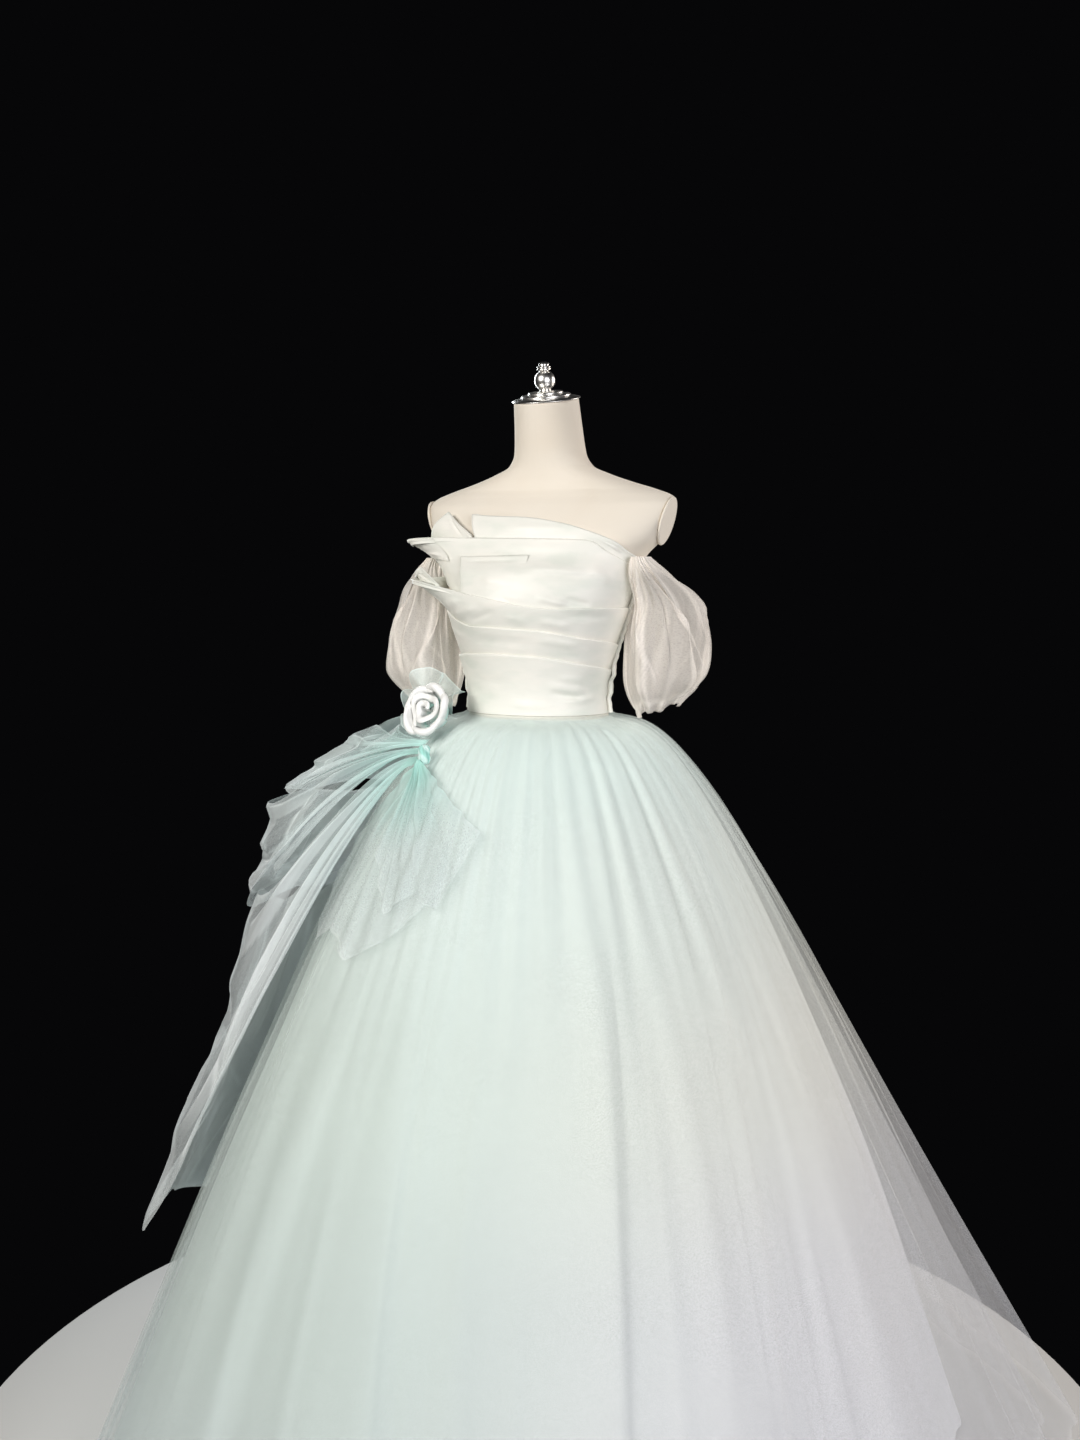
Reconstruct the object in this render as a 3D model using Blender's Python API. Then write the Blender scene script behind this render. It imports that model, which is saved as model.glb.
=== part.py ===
"""An off-shoulder ball gown on a limbless dress form.

Metres, +Z up. The origin is the centre of the stand's underside, on the pole's axis. The gown faces -Y
and the wearer's left is +X. Angles round the body are in degrees from the front: +90 is the wearer's left,
180 the centre back. A height on the skirt is a drop below the waist seam.

The torso is a loft of ellipses, and every piece of the gown is a wall between two grids of points worked
out from the torso's or the skirt's own surface, moved out.
"""

import bpy
import numpy as np
from mathutils import Matrix, Vector

SEAM_GAP = 0.0003
WAIST_SEAM_Z = 1.1860
SATIN = 0.0015
TULLE = 0.0012
SATIN_CLEARANCE = 0.0014
PLEAT_RISE = 0.0045
PLEAT_LAP = 0.008
HEM_Z = 0.004
SIDE_SEAM = 90.0
BACK_SEAM = 123.75
CENTRE_BACK = 180.0
BODY_STEP = 11.25
GORE_STEP = 10.0
GORE_ANGLE = 60.0
FOLDS_ROUND = 9
FOLD_DEPTH = 0.022
FOLD_PHASE = 0.65

BASE_RADIUS = 0.190
BASE_HEIGHT = 0.020
POLE_RADIUS = 0.0125
CAP_TILT = 12.0
SHOULDER_PLANE = {"x": 0.1965, "z": 1.497, "lean": 16.0}
ARM_PLATE = {"half_height": 0.038, "half_depth": 0.033, "thickness": 0.004, "y": 0.040, "z": 1.479}

# The form and all that hangs on it: an ellipse at each height. Columns: z, half_width, half_depth, centre_y.
BODY = np.array([
    (0.964, 0.1500, 0.1050, 0.006),
    (1.002, 0.1575, 0.1106, 0.009),
    (1.058, 0.1550, 0.1100, 0.009),
    (1.124, 0.1360, 0.0990, 0.000),
    (1.180, 0.1125, 0.0895, -0.007),
    (1.220, 0.1092, 0.0853, -0.009),
    (1.264, 0.1180, 0.0920, -0.008),
    (1.311, 0.1320, 0.1040, -0.006),
    (1.358, 0.1440, 0.1160, -0.002),
    (1.396, 0.1520, 0.1140, 0.007),
    (1.426, 0.1640, 0.1030, 0.021),
    (1.455, 0.1920, 0.0940, 0.032),
    (1.482, 0.2100, 0.0840, 0.041),
    (1.503, 0.2160, 0.0750, 0.047),
    (1.518, 0.1980, 0.0660, 0.050),
    (1.529, 0.1690, 0.0600, 0.051),
    (1.540, 0.1330, 0.0580, 0.051),
    (1.553, 0.0960, 0.0570, 0.050),
    (1.566, 0.0680, 0.0560, 0.048),
    (1.585, 0.0570, 0.0550, 0.044),
    (1.623, 0.0530, 0.0535, 0.036),
    (1.666, 0.0500, 0.0520, 0.026),
])

# Reach of the skirt from the pole's axis, at four places round it. Columns: drop, front, left, right, back.
OUTER_SKIRT = np.array([
    (0.000, 0.1050, 0.1195, 0.1195, 0.0930),
    (0.006, 0.1120, 0.1260, 0.1260, 0.1010),
    (0.012, 0.1410, 0.1580, 0.1500, 0.1330),
    (0.034, 0.1740, 0.1950, 0.1760, 0.1780),
    (0.076, 0.2120, 0.2340, 0.2100, 0.2300),
    (0.147, 0.2590, 0.2850, 0.2510, 0.2910),
    (0.250, 0.3150, 0.3450, 0.3040, 0.3660),
    (0.456, 0.4180, 0.4560, 0.3980, 0.4920),
    (0.718, 0.5440, 0.5940, 0.5140, 0.6560),
    (1.182, 0.7510, 0.8500, 0.7100, 0.9000),
])
UNDER_SKIRT = np.array([
    (0.000, 0.1008, 0.1168, 0.1168, 0.0878),
    (0.006, 0.1060, 0.1220, 0.1220, 0.0940),
    (0.012, 0.1350, 0.1500, 0.1430, 0.1260),
    (0.034, 0.1670, 0.1860, 0.1690, 0.1670),
    (0.076, 0.2025, 0.2210, 0.2015, 0.2140),
    (0.147, 0.2475, 0.2660, 0.2420, 0.2680),
    (0.250, 0.3020, 0.3210, 0.2925, 0.3300),
    (0.456, 0.4030, 0.4120, 0.3840, 0.4220),
    (0.718, 0.5250, 0.5180, 0.4990, 0.5340),
    (1.182, 0.7180, 0.6650, 0.6890, 0.7000),
])

# Heights of the bodice's pleat edges round the front. The neckline band starts at NECKLINE_START.
PLEAT_COLUMNS = ("angle", "lowest", "low", "middle", "band", "neckline")
PLEAT_EDGES = np.array([
    (-90.0, 1.270, 1.345, 1.395, 1.432, 1.490),
    (-60.0, 1.273, 1.338, 1.388, 1.452, 1.490),
    (-45.0, 1.276, 1.327, 1.378, 1.454, 1.490),
    (-30.0, 1.277, 1.319, 1.368, 1.453, 1.490),
    (-15.0, 1.278, 1.318, 1.362, 1.452, 1.486),
    (0.0, 1.277, 1.316, 1.354, 1.451, 1.483),
    (15.0, 1.275, 1.314, 1.348, 1.450, 1.474),
    (30.0, 1.271, 1.309, 1.346, 1.448, 1.460),
    (45.0, 1.265, 1.303, 1.347, 1.433, 1.446),
    (60.0, 1.260, 1.299, 1.347, 1.420, 1.432),
    (75.0, 1.256, 1.295, 1.347, 1.409, 1.422),
    (90.0, 1.252, 1.290, 1.346, 1.399, 1.414),
])
NECKLINE_START = -24.0
# How far the open ends of the middle and the high pleat stand out beside the wearer's right bust.
LOW_FLARE = 0.052
HIGH_FLARE = 0.037
BACK_TOP = {"left_side": 1.404, "right_side": 1.418, "centre": 1.377}
WELT_TOP = 1.385

# A sleeve is a tube of ellipses beside the arm's place.
# Columns: z, centre_x, centre_y, half_width, half_depth.
SLEEVE = np.array([
    (1.424, 0.1870, 0.018, 0.016, 0.027),
    (1.402, 0.1930, 0.022, 0.025, 0.046),
    (1.350, 0.1980, 0.024, 0.041, 0.070),
    (1.295, 0.2010, 0.018, 0.053, 0.079),
    (1.250, 0.2000, 0.014, 0.054, 0.077),
    (1.222, 0.1970, 0.012, 0.048, 0.070),
    (1.206, 0.1940, 0.012, 0.040, 0.061),
    (1.192, 0.1910, 0.012, 0.032, 0.052),
])
SLEEVE_SIDES = 14
SLEEVE_GATHER = 0.05

# The drape's loops: where each leaves the knot and meets the skirt again, and its height and reach.
# Columns: start and end angle, drops start_top, start_bottom, top and bottom, reach_top, reach_bottom.
DRAPE_LOOPS = {
    "drape_loop_upper": (-43.0, -112.0, 0.038, 0.047, 0.024, 0.140, 0.085, 0.150),
    "drape_loop_lower": (-41.0, -116.0, 0.049, 0.058, 0.150, 0.330, 0.150, 0.128),
    "drape_cascade": (-39.0, -108.0, 0.061, 0.074, 0.340, 0.850, 0.100, 0.055),
}
# The drape's tails lie over the front. Columns: left_edge and right_edge angles, longest drop, stand_off.
DRAPE_TAILS = {
    "drape_tail_long": (-62.0, -2.0, 0.350, 0.006),
    "drape_tail_short": (-34.0, 4.0, 0.268, 0.011),
}
KNOT = {"angle": -32.0, "drop": 0.055, "radius": 0.010, "stand_off": 0.018}

ROSE = {"angle": -45.0, "reach": 0.178, "z": 1.187, "facing": -14.0, "lift": 24.0, "radius": 0.036}
RUFFLE = {"inner": 0.010, "outer": 0.044, "waves": 5, "wave_height": 0.005, "behind": 0.0150,
          "aside": -0.010, "above": 0.027}

ZIP_SLIDER = {"width": 0.006, "height": 0.010, "thickness": 0.0025, "z": 1.358, "ear": 0.0011}
ZIP_TAB = {"width": 0.0044, "length": 0.024, "thickness": 0.0012, "knuckle": 0.0009}

FINISHES = {
    "form_cloth": ("EDE6DC", 0.85, 0.0),
    "form_plate": ("E9E0D6", 0.55, 0.0),
    "chrome": ("D8DADC", 0.12, 1.0),
    "stand_paint": ("F0EFEC", 0.40, 0.0),
    "satin": ("ECEDE6", 0.38, 0.0),
    "sleeve_tulle": ("E6DEDC", 0.80, 0.0),
    "skirt_tulle": ("D3E4DF", 0.80, 0.0),
    "skirt_lining": ("DCE6E2", 0.60, 0.0),
    "drape_tulle": ("B9E0D6", 0.80, 0.0),
}


def linear(code):
    """sRGB hex to linear RGB."""
    value = np.array([int(code[i:i + 2], 16) for i in (0, 2, 4)]) / 255
    return np.where(value <= 0.04045, value / 12.92, ((value + 0.055) / 1.055) ** 2.4)


def finish(name):
    """The named material, made once."""
    found = bpy.data.materials.get(name)
    if found:
        return found
    code, roughness, metallic = FINISHES[name]
    material = bpy.data.materials.new(name)
    material.use_nodes = True
    shader = material.node_tree.nodes["Principled BSDF"]
    shader.inputs["Base Color"].default_value = (*linear(code), 1.0)
    shader.inputs["Roughness"].default_value = roughness
    shader.inputs["Metallic"].default_value = metallic
    return material


def add_solid(name, points, faces, material):
    """One closed mesh object, turned so that its faces point out."""
    mesh = bpy.data.meshes.new(name)
    mesh.from_pydata(points.reshape(-1, 3).tolist(), [], faces)
    mesh.calc_loop_triangles()
    corners = np.array([points.reshape(-1, 3)[list(t.vertices)] for t in mesh.loop_triangles])
    if np.linalg.det(corners - corners.mean(axis=(0, 1))).sum() < 0:
        mesh.flip_normals()
    mesh.materials.append(finish(material))
    mesh.shade_smooth()
    mesh.set_sharp_from_angle(angle=np.radians(40))
    obj = bpy.data.objects.new(name, mesh)
    bpy.context.scene.collection.objects.link(obj)
    return obj


def grid_faces(rows, columns, first, turned, closed):
    """Triangles of a grid of points numbered row by row from first, each cell cut along one diagonal."""
    faces = []
    for row in range(rows - 1):
        for column in range(columns if closed else columns - 1):
            a = first + row * columns + column
            b = first + row * columns + (column + 1) % columns
            for cut in ((a, b, b + columns), (a, b + columns, a + columns)):
                faces.append(cut[::-1] if turned else cut)
    return faces


def add_wall(name, outer, inner, material, closed=False):
    """A wall between two grids of the same shape, closed round when its columns meet."""
    rows, columns = outer.shape[:2]
    count = rows * columns
    faces = grid_faces(rows, columns, 0, False, closed) + grid_faces(rows, columns, count, True, closed)
    around = list(range(columns)) + ([0] if closed else [])
    for row, turned in ((0, True), (rows - 1, False)):
        for a, b in zip(around, around[1:]):
            quad = tuple(np.array((a, b, b + count, a + count)) + row * columns)
            faces.append(tuple(int(i) for i in (quad[::-1] if turned else quad)))
    if not closed:
        for column, turned in ((0, False), (columns - 1, True)):
            for row in range(rows - 1):
                a = row * columns + column
                quad = (a, a + columns, a + columns + count, a + count)
                faces.append(quad[::-1] if turned else quad)
    return add_solid(name, np.concatenate([outer.reshape(-1, 3), inner.reshape(-1, 3)]), faces, material)


def add_loft(name, rings, material):
    """A solid through closed rings, capped flat at both ends."""
    rows, columns = rings.shape[:2]
    faces = grid_faces(rows, columns, 0, False, True)
    faces.append(tuple(range(columns))[::-1])
    faces.append(tuple((rows - 1) * columns + i for i in range(columns)))
    return add_solid(name, rings, faces, material)


def turned_rings(profile, sides):
    """Rings of a turned profile of (radius, height) pairs about +Z."""
    turn = np.arange(sides) * 2 * np.pi / sides
    radius, height = np.array(profile).T[:, :, None]
    return np.stack(np.broadcast_arrays(radius * np.cos(turn), radius * np.sin(turn), height), axis=-1)


def eased(value):
    """0 to 1 with level ends."""
    value = np.clip(value, 0, 1)
    return value * value * (3 - 2 * value)


def along(table, column, at):
    """A table's column read at a value of its first column, on a smooth curve that never overshoots."""
    x, y = table[:, 0], table[:, column]
    step = np.diff(x)
    slope = np.diff(y) / step
    level = slope[1:] * slope[:-1] <= 0
    joined = np.where(level, 1.0, slope[1:] + slope[:-1])
    middle = np.where(level, 0.0, 2 * slope[1:] * slope[:-1] / joined)
    ends = np.concatenate([slope[:1], middle, slope[-1:]])
    at = np.clip(at, x[0], x[-1])
    i = np.clip(np.searchsorted(x, at, side="right") - 1, 0, len(step) - 1)
    t = (at - x[i]) / step[i]
    return (y[i] * (1 + 2 * t) * (1 - t) ** 2 + ends[i] * step[i] * t * (1 - t) ** 2
            + y[i + 1] * t * t * (3 - 2 * t) + ends[i + 1] * step[i] * t * t * (t - 1))


def body_point(angle, z, out=0.0):
    """A point of the form's surface, moved out level."""
    turn = np.radians(angle)
    half_width, half_depth, centre_y = (along(BODY, i, z) for i in (1, 2, 3))
    x = (half_width + out) * np.sin(turn)
    y = centre_y - (half_depth + out) * np.cos(turn)
    return np.stack(np.broadcast_arrays(x, y, z), axis=-1)


def skirt_reach(table, angle, drop):
    """Reach from the axis: quarter ellipses between the four columns, with the main folds."""
    turn = np.radians(angle)
    front, left, right, back = (along(table, i, drop) for i in (1, 2, 3, 4))
    ahead = np.where(np.cos(turn) > 0, front, back)
    beside = np.where(np.sin(turn) > 0, left, right)
    reach = 1 / np.sqrt((np.sin(turn) / beside) ** 2 + (np.cos(turn) / ahead) ** 2)
    depth = FOLD_DEPTH * (drop / table[-1, 0]) ** 1.2
    return reach * (1 + depth * np.cos(FOLDS_ROUND * turn + FOLD_PHASE))


def skirt_point(angle, drop, out=0.0):
    """A point of the outer skirt's surface, moved out level."""
    reach = skirt_reach(OUTER_SKIRT, angle, drop) + out
    turn = np.radians(angle)
    return np.stack(np.broadcast_arrays(reach * np.sin(turn), -reach * np.cos(turn), WAIST_SEAM_Z - drop),
                    axis=-1)


def shoulder_normal(side):
    """Outward normal of the flat cut at a shoulder."""
    lean = np.radians(SHOULDER_PLANE["lean"])
    return np.array([side * np.cos(lean), 0.0, -np.sin(lean)])


def add_form():
    """The bust: ellipses cut flat at the shoulders, its neck cut square to its forward lean."""
    angles = np.arange(0, 360, BODY_STEP)
    between = (BODY[:-1, 0] + BODY[1:, 0]) / 2
    heights = np.sort(np.concatenate([BODY[:, 0], between]))[:, None]
    rings = body_point(angles[None, :], heights)
    lean = np.tan(np.radians(CAP_TILT))
    neck = np.clip((rings[:, :1, 2:] - BODY[-3, 0]) / (BODY[-1, 0] - BODY[-3, 0]), 0, 1)
    rings[..., 2:] += neck * lean * (rings[..., 1:2] - along(BODY, 3, heights)[..., None])
    below = SHOULDER_PLANE["z"] - rings[..., 2]
    edge = SHOULDER_PLANE["x"] - np.tan(np.radians(SHOULDER_PLANE["lean"])) * below
    cut = rings[..., 2] > BODY[9, 0]
    rings[..., 0] = np.where(cut, np.clip(rings[..., 0], -edge, edge), rings[..., 0])
    add_loft("form_torso", rings, "form_cloth")

    for side, name in ((1, "left"), (-1, "right")):
        turn = np.arange(20) * 2 * np.pi / 20
        normal = shoulder_normal(side)
        up = np.cross([0.0, side, 0.0], normal) * -1
        drop = (SHOULDER_PLANE["z"] - ARM_PLATE["z"]) * np.tan(np.radians(SHOULDER_PLANE["lean"]))
        centre = np.array([side * (SHOULDER_PLANE["x"] - drop), ARM_PLATE["y"], ARM_PLATE["z"]])
        oval = (ARM_PLATE["half_depth"] * np.cos(turn)[:, None] * np.array([0.0, 1.0, 0.0])
                + ARM_PLATE["half_height"] * np.sin(turn)[:, None] * up)
        rings = []
        for shrink, rise in ((1.0, SEAM_GAP), (1.0, 0.6 * ARM_PLATE["thickness"]),
                             (0.93, ARM_PLATE["thickness"])):
            rings.append(centre + oval * shrink + normal * rise)
        add_loft(f"form_arm_plate_{name}", np.array(rings), "form_plate")


def add_cap_and_finial():
    """A stepped chrome cap on the neck, and the turned finial that screws into it."""
    cap = [(0.0525, 0.0), (0.0535, 0.0012), (0.0525, 0.0028), (0.0390, 0.0062), (0.0382, 0.0085),
           (0.0275, 0.0105), (0.0265, 0.0130), (0.0180, 0.0142)]
    ball_radius = 0.0160
    ball_z = 0.0300
    turn = np.radians(np.arange(-60, 66, 18))
    ball = [(ball_radius * np.cos(a), ball_z + ball_radius * np.sin(a)) for a in turn]
    finial = [(0.0100, 0.0145)] + ball + [
        (0.0062, 0.0455), (0.0108, 0.0465), (0.0108, 0.0482), (0.0078, 0.0490), (0.0108, 0.0498),
        (0.0108, 0.0512), (0.0070, 0.0530), (0.0084, 0.0545), (0.0070, 0.0562), (0.0035, 0.0580)]
    top = BODY[-1]
    place = Matrix.Translation((0.0, top[3], top[0])) @ Matrix.Rotation(np.radians(CAP_TILT), 4, "X")
    place = place @ Matrix.Translation((0.0, 0.0, SEAM_GAP))
    add_loft("form_neck_cap", turned_rings(cap, 32), "chrome").matrix_world = place
    add_loft("form_finial", turned_rings(finial, 20), "chrome").matrix_world = place


def add_stand():
    """A pole on a round base, under the form."""
    base = [(BASE_RADIUS - 0.004, 0.0), (BASE_RADIUS, 0.004), (BASE_RADIUS, 0.009),
            (BASE_RADIUS - 0.010, 0.013), (0.040, 0.017), (0.034, BASE_HEIGHT)]
    add_loft("stand_base", turned_rings(base, 48), "stand_paint")
    top = BODY[0, 0] - SEAM_GAP
    pole = [(POLE_RADIUS, BASE_HEIGHT + SEAM_GAP), (POLE_RADIUS, top - 0.012),
            (0.035, top - 0.010), (0.035, top)]
    add_loft("stand_pole", turned_rings(pole, 24), "stand_paint")


def stand_off(z):
    """The boned top of the bodice stands off the chest."""
    return 0.010 * eased((z - 1.420) / 0.060)


def flare(angle, amount, middle=-64.0, ahead=18.0, behind=10.0):
    """How far a pleat's end opens out from the body beside the bust."""
    width = np.where(angle > middle, ahead, behind)
    return amount * np.exp(-((angle - middle) / width) ** 2)


def add_panel(name, angles, low, high, inner, thickness=SATIN, rows=4, material="satin"):
    """A wall on the form from height low to high, its inner face a given distance out."""
    t = 1 - (1 - np.linspace(0, 1, rows)[:, None]) ** (1.4 if rows > 6 else 1.0)
    z = low + (high - low) * t
    grid = np.broadcast_to(angles, z.shape if z.shape[1] > 1 else (rows, len(angles)))
    z = np.broadcast_to(z, grid.shape)
    out = inner(grid, t, z) + stand_off(z)
    return add_wall(name, body_point(grid, z, out + thickness), body_point(grid, z, out), material)


def columns(start, end, step=BODY_STEP):
    """Angles from start to end on the form's own columns, with half a seam's gap at each end."""
    gap = np.degrees(SEAM_GAP / 2 / 0.12)
    inside = np.arange(np.ceil((start + 0.5) / step), np.floor((end - 0.5) / step) + 1) * step
    return np.concatenate([[start + gap], inside, [end - gap]])


def pleat_edge(column, angles):
    return along(PLEAT_EDGES, PLEAT_COLUMNS.index(column), angles)


def pleat_rise(opening):
    """Each pleat rises from under the one below to lap over the one above, and its end may open."""
    def inner(angle, t, z):
        return SATIN_CLEARANCE + PLEAT_RISE * t + flare(angle, opening) * t ** 2.2
    return inner


def add_bodice_front():
    """Five shingled pieces, each one's top edge lapping over the next above."""
    angles = columns(-SIDE_SEAM, SIDE_SEAM)
    waist = WAIST_SEAM_Z + SEAM_GAP
    lowest, low, middle, band = (pleat_edge(name, angles) for name in ("lowest", "low", "middle", "band"))
    add_panel("bodice_front_lower", angles, waist, lowest, pleat_rise(0.0), rows=5)
    add_panel("bodice_pleat_low", angles, lowest - PLEAT_LAP, low, pleat_rise(0.0), rows=3)
    add_panel("bodice_pleat_middle", angles, low - PLEAT_LAP, middle, pleat_rise(LOW_FLARE), rows=6)
    add_panel("bodice_pleat_high", angles, middle - PLEAT_LAP, band, pleat_rise(HIGH_FLARE), rows=6)
    angles = columns(NECKLINE_START, SIDE_SEAM)
    add_panel("bodice_neckline_band", angles, pleat_edge("band", angles) - PLEAT_LAP,
              pleat_edge("neckline", angles), pleat_rise(0.0), rows=4)


def add_bodice_folds():
    """The folded points at the wearer's right bust, and the square tuck beside them."""
    angles = np.array([-58.0, -51.0, -45.0, -38.0, -34.0, -30.0, -25.0])
    point = np.interp(angles, [-58.0, -38.0, -25.0], [1.456, 1.494, 1.457])
    add_panel("bodice_peak", angles, pleat_edge("band", angles) - PLEAT_LAP, point,
              lambda angle, t, z: SATIN_CLEARANCE + PLEAT_RISE * t, rows=3)

    def behind_middle(angle, t, z):
        return SATIN_CLEARANCE + PLEAT_RISE - SATIN - 0.0008 + flare(angle, LOW_FLARE) * (0.78 + 0.15 * t)

    angles = np.array([-68.0, -63.0, -58.0, -54.0, -50.0, -46.0])
    point = pleat_edge("middle", angles) + np.interp(angles, [-68.0, -56.0, -46.0], [0.002, 0.022, 0.001])
    add_panel("bodice_fold_lower", angles, pleat_edge("middle", angles) + 0.0006, point, behind_middle,
              rows=3)

    def on_high(angle, t, z):
        low = pleat_edge("middle", angle) - PLEAT_LAP
        share = (z - low) / (pleat_edge("band", angle) - low)
        return pleat_rise(HIGH_FLARE)(angle, share, z) + SATIN + 0.0016

    angles = columns(-67.5, -45.0)
    low_edge = np.interp(angles, [-67.5, -45.0], [1.424, 1.418])
    add_panel("bodice_fold_upper", angles, low_edge, pleat_edge("band", angles) - 0.002, on_high, rows=3)
    angles = columns(-34.0, 6.0)
    add_panel("bodice_tuck", angles, pleat_edge("middle", angles) + 0.001,
              np.interp(angles, [-34.0, 6.0], [1.424, 1.426]), on_high, rows=5)


def add_bodice_sides_and_back():
    """Side and back panels, meeting at the centre back's hidden zip."""
    def plain(angle, t, z):
        return SATIN_CLEARANCE + 0.0012 * t

    waist = WAIST_SEAM_Z + SEAM_GAP
    for side, name, side_top in ((1, "left", PLEAT_EDGES[-1, 5]), (-1, "right", PLEAT_EDGES[0, 4])):
        marks = [SIDE_SEAM, BACK_SEAM, CENTRE_BACK]
        tops = [side_top, BACK_TOP[f"{name}_side"], BACK_TOP["centre"]]
        for piece, start, end in (("side", SIDE_SEAM, BACK_SEAM), ("back", BACK_SEAM, CENTRE_BACK)):
            angles = columns(start, end)
            add_panel(f"bodice_{piece}_{name}", side * angles, waist, np.interp(angles, marks, tops), plain,
                      rows=9)
        angles = side * np.array([SIDE_SEAM - 2.0, SIDE_SEAM + 2.0])
        add_panel(f"bodice_side_welt_{name}", angles, waist, WELT_TOP,
                  lambda angle, t, z: 0.0078 + 0 * t, thickness=0.0025, rows=6)


def add_zip():
    """The slider sits at the top of the back opening. Its pull tab hangs from a knuckle between two ears."""
    z = ZIP_SLIDER["z"]
    y = body_point(CENTRE_BACK, np.array(z))[1] + 0.0050
    half = ZIP_SLIDER["width"] / 2
    ear = ZIP_SLIDER["ear"]
    knuckle = ZIP_TAB["knuckle"]
    face = y + ZIP_SLIDER["thickness"]
    pivot_y = face + knuckle + SEAM_GAP
    pivot_z = z + 0.002
    inside = half - ear
    # The slider is one outline seen from above, a U, carried down its height in two stages.
    across = np.array([-half, -half, -inside, -inside, inside, inside, half, half])
    tip = pivot_y + knuckle
    ahead = np.array([y, tip, tip, face, face, tip, tip, y])
    block = np.minimum(ahead, face)
    rings = []
    for height, depth in ((z - 0.5 * ZIP_SLIDER["height"], block), (pivot_z - 0.0016, ahead),
                          (pivot_z + 0.0016, ahead), (z + 0.5 * ZIP_SLIDER["height"], block)):
        rings.append(np.stack([across, depth, np.full(8, height)], axis=-1))
    add_loft("zip_slider", np.array(rings), "chrome")

    width = inside - SEAM_GAP
    plate = ZIP_TAB["thickness"] / 2
    turn = np.radians(np.arange(-45, 226, 45))
    profile = [(plate, -ZIP_TAB["length"]), (plate, -1.2 * knuckle)]
    profile += [(knuckle * np.cos(a), knuckle * np.sin(a)) for a in turn]
    profile += [(-plate, -1.2 * knuckle), (-plate, -ZIP_TAB["length"])]
    depth, height = np.array(profile).T
    wide = np.where(height < -2 * knuckle, ZIP_TAB["width"] / 2, width)
    rings = [np.stack([side * wide, depth, height], axis=-1) for side in (-1, 1)]
    tab = add_loft("zip_pull_tab", np.array(rings), "chrome")
    tab.location = Vector((0.0, float(pivot_y), float(pivot_z)))


def add_sleeves():
    """Off-shoulder puffs: gathered tubes, open at the top and at the cuff."""
    turn = np.arange(SLEEVE_SIDES) * 2 * np.pi / SLEEVE_SIDES
    z, centre_x, centre_y, half_width, half_depth = SLEEVE.T[:, :, None]
    gather = 1 + SLEEVE_GATHER * np.cos(np.pi * np.arange(SLEEVE_SIDES))
    for side, name in ((1, "left"), (-1, "right")):
        grids = []
        for inset in (0.0, TULLE):
            x = side * (centre_x + (half_width - inset) * gather * np.cos(turn))
            y = centre_y + (half_depth - inset) * gather * np.sin(turn)
            grids.append(np.stack(np.broadcast_arrays(x, y, z), axis=-1))
        add_wall(f"sleeve_{name}", grids[0], grids[1], "sleeve_tulle", closed=True)


def add_skirt():
    """Three layers of six gores. Each layer hangs under the next, lower at the waist and nearer the axis."""
    middle = UNDER_SKIRT + 0.6 * (OUTER_SKIRT - UNDER_SKIRT)
    middle[-1, 2] = UNDER_SKIRT[-1, 2] + 0.75 * (OUTER_SKIRT[-1, 2] - UNDER_SKIRT[-1, 2])
    layers = (("skirt_outer", OUTER_SKIRT, 0.0, TULLE, "skirt_tulle"),
              ("skirt_middle", middle, 0.003, TULLE, "skirt_tulle"),
              ("skirt_under", UNDER_SKIRT, 0.006, SATIN, "skirt_lining"))
    gores = ("front", "front_left", "back_left", "back", "back_right", "front_right")
    for layer, table, lower, thickness, material in layers:
        drop = table[:, :1]
        z = WAIST_SEAM_Z - drop - lower * (1 - drop / table[-1, 0])
        z = np.maximum(z, HEM_Z)
        for number, gore in enumerate(gores):
            centre = number * GORE_ANGLE
            angles = np.tile(centre + np.arange(3, -4, -1) * GORE_STEP, (len(drop), 1))
            gap = np.degrees(SEAM_GAP / 2 / skirt_reach(table, angles, drop))
            angles[:, :1] -= gap[:, :1]
            angles[:, -1:] += gap[:, -1:]
            reach = skirt_reach(table, angles, drop)
            run, fall = np.gradient(reach, axis=0), np.gradient(z + 0 * reach, axis=0)
            length = np.hypot(run, fall)
            grids = []
            for inset in (0.0, thickness):
                r = reach + inset * fall / length
                turn = np.radians(angles)
                low = z - inset * run / length
                grids.append(np.stack([r * np.sin(turn), -r * np.cos(turn), low], axis=-1))
            add_wall(f"{layer}_{gore}", grids[0], grids[1], material)


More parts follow.
